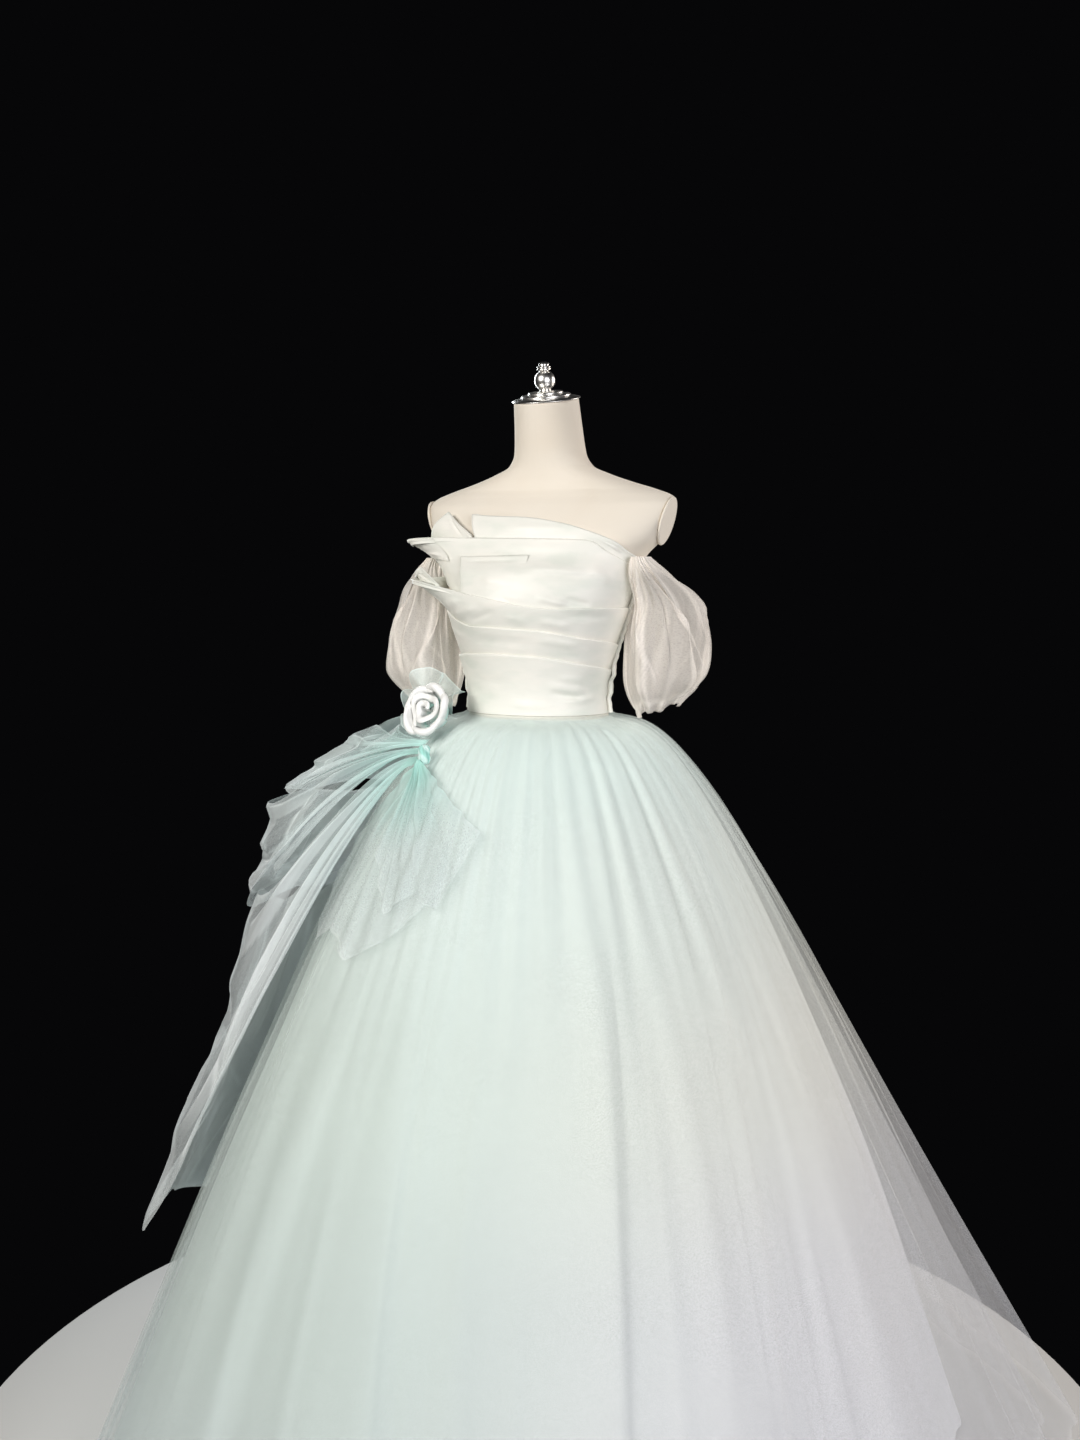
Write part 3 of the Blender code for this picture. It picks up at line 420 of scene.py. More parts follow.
def hung(table, angle, drop, seed, broad, fine):
    """The turn in radians and the reach of each point of a layer, moved by its folds and gathers.

    broad and fine are the strength of the broad and of the fine folds. The seam pulls the first few mm in.
    """
    reach = skirt_reach(table, angle, drop)
    rise, shift = folded(BROAD_FOLDS, angle, drop, reach, broad)
    more_rise, more_shift = folded(FINE_FOLDS, angle, drop, reach, fine)
    turn = np.radians(angle) + (shift + FINE_LEAN * more_shift) / reach
    return turn, reach + rise + more_rise + gathers(angle, drop, seed) - 0.0045 * np.exp(-drop / 0.003)


def skirt_layer(table, columns, rows, lower, hang):
    """A skirt layer's grid from the waist seam to the hem. The under layers are sewn on a little lower."""
    drop = HEM_DROP * np.linspace(0, 1, rows)[:, None] ** 1.7
    z = np.maximum(WAIST_Z - drop - lower * (1 - drop / HEM_DROP), HEM_Z)
    turn, reach = hung(table, np.arange(columns)[None, :] * 360.0 / columns, drop, *hang)
    return points(reach * np.sin(turn), -reach * np.cos(turn), z)


def skirt_tint_with_painted_shade(material):
    """The cloth's pale mint with painted light and shade over the skirt: painted shade darkens it and turns it
    bluer towards the hem, and painted light keeps it paler and warmer at the left side.
    """
    place = add_node(material, "ShaderNodeTexCoord").outputs["Object"]
    parts = add_node(material, "ShaderNodeSeparateXYZ", links={"Vector": place}).outputs
    height = add_node(material, "ShaderNodeMapRange", {"From Min": 0.0, "From Max": 1.2}, {"Value": parts["Z"]})
    # Two ramps by height, both painted shade towards the hem: the darker, bluer one for the right side, and the
    # paler, warmer one, painted light, for the left.
    cool, warm = (add_node(material, "ShaderNodeValToRGB", links={"Fac": height.outputs["Result"]},
                           stops=list(zip((0.08, 0.35, 0.60, 0.82, 0.96), codes.split()))).outputs["Color"]
                  for codes in ("D4DDDC D9E3DF E0EAE5 E6F0EC E8F3EF", "E6E7EA EBEBEC F0F0EA EDF0EA EAF3EE"))
    side = add_node(material, "ShaderNodeMapRange", {"From Min": -0.05, "From Max": 0.55}, {"Value": parts["X"]},
                    interpolation_type="SMOOTHSTEP")
    mix = add_node(material, "ShaderNodeMix", links={"Factor": side.outputs["Result"], 6: cool, 7: warm},
                   data_type="RGBA")
    return mix.outputs[2]


# Acetate taffeta: a close plain weave with a soft sheen. Its threads, 0.2 mm apart, are drawn at 1.5 mm.
taffeta = new_material("acetate_taffeta", Roughness=0.62, IOR=1.46, Sheen_Weight=0.15, Sheen_Roughness=0.5)
uv = add_node(taffeta, "ShaderNodeTexCoord").outputs["UV"]
threads = add_node(taffeta, "ShaderNodeTexNoise", {"Scale": 650.0, "Detail": 2.0}, {"Vector": uv}).outputs["Fac"]
# Its colour is the skirt's tint, with painted shade towards the hem.
feed(taffeta, Base_Color=skirt_tint_with_painted_shade(taffeta),
     Normal=add_node(taffeta, "ShaderNodeBump", {"Strength": 0.10, "Distance": 0.0003},
                     {"Height": threads}).outputs["Normal"])


def new_tulle(name, opacity, net=0.0030, tint=None, **values):
    """Nylon tulle: a soft six-sided net of fine thread, mostly see-through. Its edges catch the light.

    The real net is 1.2 mm across and is drawn at 3 mm, or at 1.8 mm on the skirt. Where the cloth is doubled,
    creased or pulled together, the piece's own "cover" attribute adds to its opacity.
    """
    material = new_material(name, Roughness=0.75, IOR=1.53, Sheen_Weight=0.30, Sheen_Roughness=0.35, **values)
    uv = add_node(material, "ShaderNodeTexCoord").outputs["UV"]
    cells = add_node(material, "ShaderNodeTexVoronoi", {"Scale": 1 / net}, {"Vector": uv},
                     feature="DISTANCE_TO_EDGE").outputs["Distance"]
    thread = add_node(material, "ShaderNodeMapRange", {"From Max": 0.30, "To Min": 1.12, "To Max": 0.93},
                      {"Value": cells}).outputs["Result"]
    cloud = add_node(material, "ShaderNodeTexNoise", {"Scale": 5.0, "Detail": 1.0}, {"Vector": uv}).outputs["Fac"]
    thickness = add_node(material, "ShaderNodeMapRange", {"To Min": 0.8 * opacity, "To Max": 1.2 * opacity},
                         {"Value": cloud}).outputs["Result"]
    cover = add_node(material, "ShaderNodeAttribute", attribute_name="cover").outputs["Fac"]
    whole = add_node(material, "ShaderNodeMath", links={0: thread, 1: thickness, 2: cover},
                     operation="MULTIPLY_ADD", use_clamp=True).outputs[0]
    feed(material, Alpha=whole)
    if tint:
        feed(material, Base_Color=tint(material))
    return material


# The skirt's tulle takes the same tint, with painted shade towards the hem.
skirt_tulle = new_tulle("skirt_tulle", 0.26, net=0.0018, tint=skirt_tint_with_painted_shade)
GORES = ("front", "front_left", "back_left", "back", "back_right", "front_right")
MIDDLE_SKIRT = UNDER_SKIRT + 0.6 * (OUTER_SKIRT - UNDER_SKIRT)
MIDDLE_SKIRT[-1, 2] = UNDER_SKIRT[-1, 2] + 0.75 * (OUTER_SKIRT[-1, 2] - UNDER_SKIRT[-1, 2])
# How each layer hangs: its gathers' seed, then the strength of its broad and of its fine folds.
OUTER_HANG = (2, 1.0, 0.75)
for layer, table, columns, rows, lower, hang, cloth, slot, cut in (
        ("under", UNDER_SKIRT, 420, 64, 0.006, (0, 0.85, 0.0), taffeta, "skirt_lining", (4.45, 1.35, 0.57)),
        ("middle", MIDDLE_SKIRT, 660, 76, 0.003, (1, 0.9, 0.55), skirt_tulle, "skirt_tulle", (5.2, 1.38, 0.57)),
        ("outer", OUTER_SKIRT, 900, 84, 0.0, OUTER_HANG, skirt_tulle, "skirt_tulle", (5.9, 1.41, 0.57))):
    grid = skirt_layer(table, columns, rows, lower, hang)
    skirt = add_surface(f"skirt_{layer}", grid, cloth, around=True)
    put_on(skirt, slot, *[f"skirt_{layer}_{gore}" for gore in GORES])

# ---------------------------------------------------------------------------------------------------- Bodice
# Duchess satin cut over the bust. The front is five shingled pieces: each one's top is a folded edge that
# laps over the next one up. At the wearer's right the folds open into standing points.

# The cloth's thickness and its distance off the form, how far a pleat rises to lap over the next and by how
# much, and the gap at the waist seam.
SATIN = 0.0015
CLEARANCE = 0.0014
PLEAT_RISE = 0.0045
PLEAT_LAP = 0.008
SEAM_GAP = 0.0003
# A folded edge's radius, and how far down behind itself the cloth turned over it reaches.
TURN_IN = 0.0011
TURN_DOWN = [-0.003, -0.006]
CHEST_RADIUS = 0.13
SIDE, BACK_SEAM = 90.0, 123.75
LOW_FLARE, HIGH_FLARE = 0.052, 0.037
# The angle, then the height of each pleat's edge: lowest, low, middle, band and neckline.
PLEAT_EDGES = np.array([
    (-90.0, 1.270, 1.345, 1.395, 1.432, 1.490), (-60.0, 1.273, 1.338, 1.388, 1.452, 1.490),
    (-45.0, 1.276, 1.327, 1.378, 1.454, 1.490), (-30.0, 1.277, 1.319, 1.368, 1.453, 1.490),
    (-15.0, 1.278, 1.318, 1.362, 1.452, 1.486), (0.0, 1.277, 1.316, 1.354, 1.451, 1.483),
    (15.0, 1.275, 1.314, 1.348, 1.450, 1.474), (30.0, 1.271, 1.309, 1.346, 1.448, 1.460),
    (45.0, 1.265, 1.303, 1.347, 1.433, 1.446), (60.0, 1.260, 1.299, 1.347, 1.420, 1.432),
    (75.0, 1.256, 1.295, 1.347, 1.409, 1.422), (90.0, 1.252, 1.290, 1.346, 1.399, 1.414),
])
EDGE_NAMES = ("angle", "lowest", "low", "middle", "band", "neckline")


def pleat_edge(name, angle):
    """The height of a named edge of the pleats at an angle."""
    return along(PLEAT_EDGES, EDGE_NAMES.index(name), angle)


def waist(angle):
    """The bodice's lower edge, level all round and just clear of the skirt's seam."""
    return WAIST_Z + SEAM_GAP + 0 * angle


def stand_off(z):
    """The boned top of the bodice stands off the chest."""
    return 0.010 * eased((z - 1.420) / 0.060)


def flare(angle, amount):
    """How far a pleat's end opens out beside the bust: a bell of the angle, steeper behind."""
    return amount * np.exp(-((angle + 64.0) / np.where(angle > -64.0, 21.0, 10.0)) ** 2)


def creased(rows, angle, z):
    """Soft creases along straight lines from (angle, z) to (angle, z), each with a half width and a rise in mm.

    The rise is a bell across the line that fades at both ends. A negative rise is a trough.
    """
    total = np.zeros(np.broadcast(angle, z).shape)
    girth = np.radians(1.0) * CHEST_RADIUS
    for a0, z0, a1, z1, width, rise in rows:
        run, climb = (a1 - a0) * girth, z1 - z0
        length = run * run + climb * climb
        x, y = (angle - a0) * girth, z - z0
        share = (x * run + y * climb) / length
        nearest = np.clip(share, 0, 1)
        apart = np.hypot(x - nearest * run, y - nearest * climb)
        fade = eased(nearest * 3) * eased((1 - nearest) * 3)
        total += rise / 1000 * np.exp(-(apart / (width / 1000)) ** 2) * fade
    return total


def satin_panel(name, start, end, low, high, out, cut, crease, columns=150, rows=40, open_start=False):
    """A satin panel: its face climbs from low to high, then turns over a fold and 6 mm down behind itself.

    low and high give heights at an angle and out gives the face's distance from the form. cut, the cloth's flat
    width, its length and the share of that rectangle used, is not used. An open start has its own fold.
    """
    bend = np.radians(np.arange(0, 181, 30))
    over = np.concatenate([TURN_IN * np.sin(bend), TURN_DOWN])
    under = np.concatenate([TURN_IN * (1 - np.cos(bend)), [2 * TURN_IN] * 2])
    t = np.concatenate([np.linspace(0, 1, rows), np.ones(len(over))])
    lift, inward = np.concatenate([np.zeros(rows), over]), np.concatenate([np.zeros(rows), under])
    angle, slip, tucked = np.linspace(start, end, columns), np.zeros(columns), np.zeros(columns)
    if open_start:
        angle = np.concatenate([np.full(len(over), start), angle])
        slip = np.concatenate([-np.degrees(over / CHEST_RADIUS)[::-1], slip])
        tucked = np.concatenate([under[::-1], tucked])
    t, lift, inward = t[:, None], lift[:, None], inward[:, None]
    angle, slip, tucked = angle[None, :], slip[None, :], tucked[None, :]
    bottom, top = low(angle), high(angle)
    z = bottom + (top - bottom) * t
    face = out(angle, t, z) + SATIN + stand_off(z) + creased(crease, angle, z)
    inset = np.maximum(inward, tucked)
    panel = add_surface(name, body_point(angle + slip, z + lift, face - inset), satin)
    put_on(panel, "satin", name)


# Duchess satin: long floating threads that give a smooth, pearly face with a broad soft highlight. The threads,
# 0.15 mm across, are drawn as fine streaks 1.5 mm across, and the cloth is rippled a little over the bust, with
# painted shade in the troughs of that rippling.
satin = new_material("duchess_satin", IOR=1.5, Sheen_Weight=0.20, Sheen_Roughness=0.30, Specular_IOR_Level=0.42)
place = add_node(satin, "ShaderNodeTexCoord").outputs["Object"]
uv = add_node(satin, "ShaderNodeTexCoord").outputs["UV"]
drawn = add_node(satin, "ShaderNodeMapping", {"Scale": (90.0, 700.0, 1.0)}, {"Vector": uv}).outputs["Vector"]
streaks = add_node(satin, "ShaderNodeTexNoise", {"Scale": 1.0, "Detail": 2.0}, {"Vector": drawn}).outputs["Fac"]
pulled = add_node(satin, "ShaderNodeMapping", {"Scale": (14.0, 14.0, 34.0), "Rotation": (0.0, 0.25, 0.0)},
                  {"Vector": place}).outputs["Vector"]
ripples_and_painted_shade = add_node(satin, "ShaderNodeTexNoise", {"Scale": 1.0, "Detail": 3.0, "Roughness": 0.45},
                   {"Vector": pulled}).outputs["Fac"]
bumps = add_node(satin, "ShaderNodeBump", {"Strength": 0.35, "Distance": 0.004}, {"Height": ripples_and_painted_shade})
weave = add_node(satin, "ShaderNodeBump", {"Strength": 0.10, "Distance": 0.0004},
                 {"Height": streaks, "Normal": bumps.outputs["Normal"]})
# The colour follows the rippling's height: painted shade, duller and greener, in its troughs, and paler on its
# crests.
feed(satin,
     Base_Color=add_node(satin, "ShaderNodeValToRGB", links={"Fac": ripples_and_painted_shade},
                         stops=[(0.30, "E0E2D8"), (0.52, "EAE9E0"), (0.70, "F0EDE4")]).outputs["Color"],
     Roughness=add_node(satin, "ShaderNodeMapRange", {"To Min": 0.42, "To Max": 0.58},
                        {"Value": streaks}).outputs["Result"],
     Normal=weave.outputs["Normal"])


def risen(opening):
    """Each pleat rises from under the one below to lap over the one above, and its end may open."""
    return lambda angle, t, z: CLEARANCE + PLEAT_RISE * t + flare(angle, opening) * t ** 1.7


# Each front piece: where it starts, its lower and upper edges, how far its end opens, its cut, the rest of
# satin_panel's settings and its creases.
FRONT = {
    "bodice_front_lower": (-SIDE, None, "lowest", 0.0, (0.40, 0.10), {}, [
        (20, 1.232, 62, 1.220, 7, 2.6), (24, 1.222, 58, 1.212, 5, -2.2), (30, 1.244, 58, 1.238, 6, 1.6),
        (-70, 1.215, -20, 1.206, 8, 1.4), (-10, 1.203, 40, 1.200, 6, 1.8), (-50, 1.240, -5, 1.236, 9, -1.0),
        (35, 1.206, 75, 1.214, 5, 1.8)]),
    "bodice_pleat_low": (-SIDE, "lowest", "low", 0.0, (0.42, 0.066), {}, [
        (-40, 1.300, 20, 1.296, 8, -1.4), (15, 1.302, 48, 1.290, 6, 1.8), (-70, 1.318, -40, 1.300, 6, 1.2)]),
    "bodice_pleat_middle": (-SIDE, "low", "middle", LOW_FLARE, (0.44, 0.064), {"rows": 60, "columns": 200}, [
        (-48, 1.330, -20, 1.352, 6, 2.4), (-34, 1.326, -8, 1.344, 5, -1.8), (-52, 1.345, -34, 1.362, 5, 2.0),
        (16, 1.330, 40, 1.318, 6, 2.0), (28, 1.338, 70, 1.334, 7, -1.6), (-6, 1.336, 14, 1.326, 7, 1.4)]),
    "bodice_pleat_high": (-SIDE, "middle", "band", HIGH_FLARE, (0.45, 0.105), {"rows": 70, "columns": 200}, [
        (4, 1.408, 44, 1.400, 5, 2.0), (10, 1.400, 50, 1.392, 7, -1.8), (14, 1.366, 36, 1.352, 5, 2.6),
        (30, 1.362, 52, 1.352, 5, -2.0), (-24, 1.372, 16, 1.362, 8, 1.4), (40, 1.410, 62, 1.384, 7, 1.8),
        (-20, 1.440, 40, 1.436, 7, 1.2), (56, 1.400, 80, 1.372, 8, 1.6)]),
    "bodice_neckline_band": (-24.0, "band", "neckline", 0.0, (0.29, 0.046, 0.8), {"open_start": True}, [
        (-10, 1.470, 24, 1.466, 6, 1.2), (20, 1.458, 60, 1.434, 5, 1.6), (30, 1.452, 70, 1.422, 4, -1.2)]),
}
for name, (start, low_name, high_name, opening, cut, options, creases) in FRONT.items():
    satin_panel(name, start, SIDE, (lambda a: pleat_edge(low_name, a) - PLEAT_LAP) if low_name else waist,
                lambda a: pleat_edge(high_name, a), risen(opening), cut, creases, **options)

# The folded points at the wearer's right bust, pressed flat and caught in the pleats, and the square tuck.
satin_panel("bodice_peak", -58.0, -25.0, lambda a: pleat_edge("band", a) - PLEAT_LAP,
            lambda a: np.interp(a, [-58.0, -38.0, -25.0], [1.456, 1.494, 1.457]),
            risen(0.0), (0.085, 0.05, 0.62),
            [(-38, 1.498, -31, 1.452, 2.0, -1.4)], columns=80, rows=24)


def behind_middle(angle, t, z):
    """Just behind the middle pleat's face, and opening out with it."""
    return CLEARANCE + PLEAT_RISE - SATIN - 0.0008 + flare(angle, LOW_FLARE) * (0.78 + 0.15 * t)


satin_panel("bodice_fold_lower", -68.0, -46.0, lambda a: pleat_edge("middle", a) + 0.0006,
            lambda a: pleat_edge("middle", a) + np.interp(a, [-68.0, -56.0, -46.0], [0.002, 0.022, 0.001]),
            behind_middle, (0.07, 0.028, 0.6),
            [(-61, 1.402, -48, 1.380, 1.6, -1.6)], columns=70, rows=20)


def on_high(angle, t, z):
    """Lies on the high pleat's face."""
    low = pleat_edge("middle", angle) - PLEAT_LAP
    share = (z - low) / (pleat_edge("band", angle) - low)
    return risen(HIGH_FLARE)(angle, share, z) + SATIN + 0.0016


satin_panel("bodice_fold_upper", -67.4, -45.1, lambda a: np.interp(a, [-67.5, -45.0], [1.424, 1.418]),
            lambda a: pleat_edge("band", a) - 0.002, on_high, (0.075, 0.042),
            [(-66, 1.430, -48, 1.427, 3, 2.4), (-66, 1.440, -50, 1.444, 4, -2.0)], columns=70, rows=24)


def tuck_face(angle, t, z):
    """Stands clear of the pleat at its first end and sinks into it at the last."""
    proud = 0.0030 * np.exp(-((angle + 34.0) / 7.0) ** 2)
    sunk = 0.0034 * eased((angle + 16.0) / 22.0) * (1 - 0.85 * eased((t - 0.8) / 0.2))
    return on_high(angle, t, z) + proud - sunk


satin_panel("bodice_tuck", -34.0, 6.0, lambda a: pleat_edge("middle", a) + 0.001,
            lambda a: np.interp(a, [-34.0, 6.0], [1.424, 1.426]), tuck_face, (0.105, 0.072),
            [(-33, 1.417, 4, 1.419, 2.0, -1.5), (-20, 1.392, 2, 1.384, 8, 1.4)], columns=90, rows=36,
            open_start=True)


def plain(angle, t, z):
    """Lies close to the form, a little off it at the top."""
    return CLEARANCE + 0.0012 * t


# The height of the top edge at the side, at the back seam and at the centre back.
BACK_TOPS = {1: (1.414, 1.404, 1.377), -1: (1.432, 1.418, 1.377)}
SIDE_CREASES = [(96, 1.226, 120, 1.216, 6, 2.0), (100, 1.300, 118, 1.280, 8, 1.6), (94, 1.345, 118, 1.352, 8, -1.4)]
BACK_CREASES = [(128, 1.224, 170, 1.214, 6, 2.2), (134, 1.240, 176, 1.236, 6, -1.6),
                (140, 1.300, 172, 1.322, 9, 1.6), (128, 1.366, 160, 1.352, 8, -1.4)]
PANEL_GAP = 0.08
WELT_TOP = 1.384
for side, name in ((1, "left"), (-1, "right")):
    def top_edge(angle, side=side):
        """The top edge's height, straight between those three."""
        return np.interp(np.abs(angle), [SIDE, BACK_SEAM, 180.0], BACK_TOPS[side])

    for panel, start, end, cut, columns, rows, creases in (
            ("side", SIDE, BACK_SEAM, (0.085, 0.235), 60, 90, SIDE_CREASES),
            ("back", BACK_SEAM, 180.0, (0.115, 0.215), 75, 75, BACK_CREASES)):
        creases = [(side * a0, z0, side * a1, *rest) for a0, z0, a1, *rest in creases]
        satin_panel(f"bodice_{panel}_{name}", side * (start + PANEL_GAP), side * (end - PANEL_GAP), waist, top_edge,
                    plain, cut, creases, columns, rows)

    # The side seam's turnings stand up in a thick pale ridge, puckered where the waist pulls it.
    run = np.linspace(0, 1, 160)[:, None]
    z = WAIST_Z + 0.001 + (WELT_TOP - WAIST_Z) * run
    pucker = 0.0014 * np.sin(run * 46) * np.exp(-((run - 0.22) / 0.22) ** 2) + 0.0004 * np.sin(run * 90 + 1)
    bulge = 0.006 * np.exp(-((run - 0.24) / 0.13) ** 2)
    around_it = np.radians(np.arange(0, 360, 22.5))[None, :]
    half = np.degrees(0.0040 / 0.125) * (1 + 0.5 * bulge / 0.006)
    angle = side * (SIDE + half * np.sin(around_it))
    ridge = body_point(angle, z, 0.0078 + 0.6 * bulge + pucker + 0.0034 * np.cos(around_it))
    welt = add_surface(f"bodice_side_welt_{name}", ridge, satin, around=True, axis=(side * 0.135, -0.005))
    put_on(welt, "satin", f"bodice_side_welt_{name}")

# ---------------------------------------------------------------------------------------------------- Zip
# A concealed nylon zip closes the centre back: two pressed lips of satin meet over it, and a small chromed
# slider sits at the top with its pull tab hanging from it.

ZIP_TOP = 1.352
z = WAIST_Z + 0.002 + (ZIP_TOP - WAIST_Z) * np.linspace(0, 1, 120)[:, None]
for side, name in ((1, "left"), (-1, "right")):
    roll = np.radians(np.linspace(0, 180, 9))[None, :]
    angle = side * (180.0 - 0.05 - np.degrees(0.0022 / 0.09) * (1 - np.cos(roll)))
    lip = body_point(angle, z, CLEARANCE + SATIN + 0.0012 + 0.0016 * np.sin(roll))
    piece = add_surface(f"zip_lip_{name}", lip, satin)
    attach(piece, "root")

for name in ("zip_slider", "zip_pull_tab"):
    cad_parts[name].data.materials.clear()
    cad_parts[name].data.materials.append(chrome)

# ---------------------------------------------------------------------------------------------------- Sleeves
# Off-shoulder puffs of blush tulle: each is a tube gathered to a narrow band at the top of the bodice's side
# and again at the cuff, where its edge frills out.

# The height, centre x and y, half width and half depth of each ring.
SLEEVE = np.array([
    (1.192, 0.191, 0.012, 0.032, 0.052), (1.206, 0.194, 0.012, 0.040, 0.061), (1.222, 0.197, 0.012, 0.048, 0.070),
    (1.250, 0.200, 0.014, 0.054, 0.077), (1.295, 0.201, 0.018, 0.053, 0.079), (1.350, 0.198, 0.024, 0.041, 0.070),
    (1.402, 0.193, 0.022, 0.025, 0.046), (1.424, 0.187, 0.018, 0.016, 0.027),
])
# Each lengthwise fold: its angle at the top and at the cuff, the share of the way down where it starts and
# ends, and its half width, depth and lean in millimetres.
SLEEVE_FOLDS = [(-160, -150, 0.0, 0.7, 9, 6, 14), (-128, -96, 0.1, 1.1, 13, 8, -18),
                (-98, -60, 0.0, 0.8, 8, 5, 12),
                (-74, -34, 0.3, 1.1, 11, 9, 16), (-50, -40, 0.0, 0.6, 7, 5, -10), (-30, 6, 0.1, 1.0, 14, 9, 19),
                (-4, 40, 0.4, 1.1, 10, 7, -15), (22, 30, 0.0, 0.7, 8, 5, 12), (48, 76, 0.2, 1.1, 13, 8, 18),
                (80, 84, 0.0, 0.6, 7, 5, 11), (104, 128, 0.3, 1.1, 12, 8, -17), (138, 132, 0.0, 0.9, 9, 6, 13),
                (168, 176, 0.2, 1.1, 13, 7, 18), (-84, 12, 0.0, 0.9, 6, 4, 9), (-40, 62, 0.0, 0.95, 6, 4, 9),
                (-8, 96, 0.05, 0.9, 6, 4, 9), (-150, -70, 0.0, 0.9, 7, 4, 9)]

# The wearer's left sleeve leaves the bodice's front corner in a twisted bundle, ahead of its CAD wall.
BUNDLE_SHIFT = {"x": -0.015, "y": -0.040, "length": 0.34}
PUFF_RADIUS = 0.065
GATHER_Z, FRILL_Z, LOBE_Z = 1.206, 1.208, 1.260
sleeve_tulle = new_tulle("sleeve_tulle", 0.40, Base_Color=linear("F8F1E8"))
for side, name in ((1, "left"), (-1, "right")):
    turn = np.arange(0, 360, 2.0)[None, :]
    z = np.linspace(SLEEVE[-1, 0], SLEEVE[0, 0], 96)[:, None]
    share = (SLEEVE[-1, 0] - z) / (SLEEVE[-1, 0] - SLEEVE[0, 0])
    centre_x, centre_y, half_width, half_depth = (along(SLEEVE, i, z) for i in (1, 2, 3, 4))
    rise, shift = np.zeros(np.broadcast(turn, z).shape), np.zeros(np.broadcast(turn, z).shape)
    lapped = np.zeros(rise.shape)
    for top, cuff, first, last, width, depth, lean in SLEEVE_FOLDS:
        line = top + (cuff - top) * share ** 1.3 + 7 * side
        apart = turned_from(line, turn) * PUFF_RADIUS
        grown = eased((share - first + 0.08) / 0.25) * eased((last - share) / 0.3)
        bell = np.exp(-(apart / (width / 1000)) ** 2) * grown
        rise += 1.4 * depth / 1000 * bell
        shift += lean / 1000 * bell
        # Beside each fold the tulle lies double.
        lapped += np.exp(-((apart - 0.6 * width / 1000) / 0.0022) ** 2) * grown
    # Gathers, a frilled edge and a lop-sided belly.
    around_it = np.radians(turn)
    fine = 0.0010 * np.sin(29 * around_it + 5 * share + 2 * np.sin(3 * around_it)) * (1 - 0.6 * share)
    frill = eased((FRILL_Z - z) / 0.012) * 0.003 * np.sin(17 * around_it + 0.8 * np.sin(3 * around_it))
    belly = 0.006 * np.sin(2 * around_it + 1.2 + 1.5 * share) * np.sin(np.pi * np.clip(share, 0, 1))
    out = rise - 0.005 + fine + frill + belly
    around_it = around_it + shift / PUFF_RADIUS
    bundle = eased(1 - share / BUNDLE_SHIFT["length"]) * (side > 0)
    x = side * (centre_x + BUNDLE_SHIFT["x"] * bundle + (half_width + out) * np.cos(around_it))
    y = centre_y + BUNDLE_SHIFT["y"] * bundle + (half_depth + out) * np.sin(around_it)
    lobes = eased((LOBE_Z - z) / 0.07) * (0.010 * np.cos(around_it) + 0.003 * np.cos(4 * around_it + 1)
                                         + 0.002 * np.sin(9 * around_it))
    grid = points(x, y, z + lobes)
    gathered = 0.35 * eased((0.16 - share) / 0.16) + 0.20 * np.exp(-((z - GATHER_Z) / 0.005) ** 2)
    sleeve = add_surface(f"sleeve_{name}", grid, sleeve_tulle, around=True, axis=(side * 0.196, 0.016),
                         cover=gathered + 0.36 * np.minimum(lapped, 1.0))
    put_on(sleeve, "sleeve_tulle", f"sleeve_{name}")

# ---------------------------------------------------------------------------------------------------- Drape
# Mint tulle caught in a knot at the wearer's right front. Two crisp loops and a long cascade stand out over
# the side of the skirt: doubled tulle, creased in hard facets. Two single tails lie over its front.


def skirt_point(angle, drop, out=0.0):
    """A point off the outer skirt's surface, moved out level."""
    reach = skirt_reach(OUTER_SKIRT, angle, drop) + out
    turn = np.radians(angle)
    return points(reach * np.sin(turn), -reach * np.cos(turn), WAIST_Z - drop)


def faceted(rows, u, t):
    """Hard creases laid along straight lines from (u, t) to (u, t), each with a half width and a rise in mm.

    The rise falls off evenly on both sides of its line, so that the cloth between creases is flat. The second
    value is 1 on the lines, where the cloth is pinched double. It is 0.42 in a strip along one side of a line,
    where the fold lies over, and 0 elsewhere.
    """
    total, pinched = np.zeros(np.broadcast(u, t).shape), np.zeros(np.broadcast(u, t).shape)
    for u0, t0, u1, t1, width, rise in rows:
        run, climb = u1 - u0, t1 - t0
        share = np.clip(((u - u0) * run + (t - t0) * climb) / (run * run + climb * climb), 0, 1)
        apart = np.hypot(u - u0 - share * run, t - t0 - share * climb)
        total += rise / 1000 * np.maximum(0, 1 - np.sqrt((apart / width) ** 2 + 0.003))
        ends = eased(share * 8) * eased((1 - share) * 5)
        beside = ((t - t0) * run - (u - u0) * climb) / np.hypot(run, climb)
        strip = eased(beside / 0.008) * eased((0.8 * width - beside) / 0.008)
        pinched = np.maximum(pinched, np.maximum(np.exp(-(apart / 0.009) ** 2), 0.42 * strip) * ends)
    return total, pinched


KNOT = {"angle": -32.0, "drop": 0.055, "radius": 0.010, "stand_off": 0.018}
knot_place = skirt_point(KNOT["angle"], np.array(KNOT["drop"]), KNOT["stand_off"])


def mint_tint(material):
    """The drape's tint: mint at the knot, paling to near white a hand's length away."""
    place = add_node(material, "ShaderNodeTexCoord").outputs["Object"]
    away = add_node(material, "ShaderNodeVectorMath", {1: knot_place.tolist()}, {0: place}, operation="DISTANCE")
    share = add_node(material, "ShaderNodeMapRange", {"From Max": 0.45}, {"Value": away.outputs["Value"]})
    return add_node(material, "ShaderNodeValToRGB", links={"Fac": share.outputs["Result"]},
                    stops=[(0.0, "A6E2D6"), (0.16, "CFEEE8"), (0.38, "E8F4F2"), (0.90, "F1F6F6")]).outputs["Color"]


drape_tulle = new_tulle("drape_tulle", 0.25, tint=mint_tint)
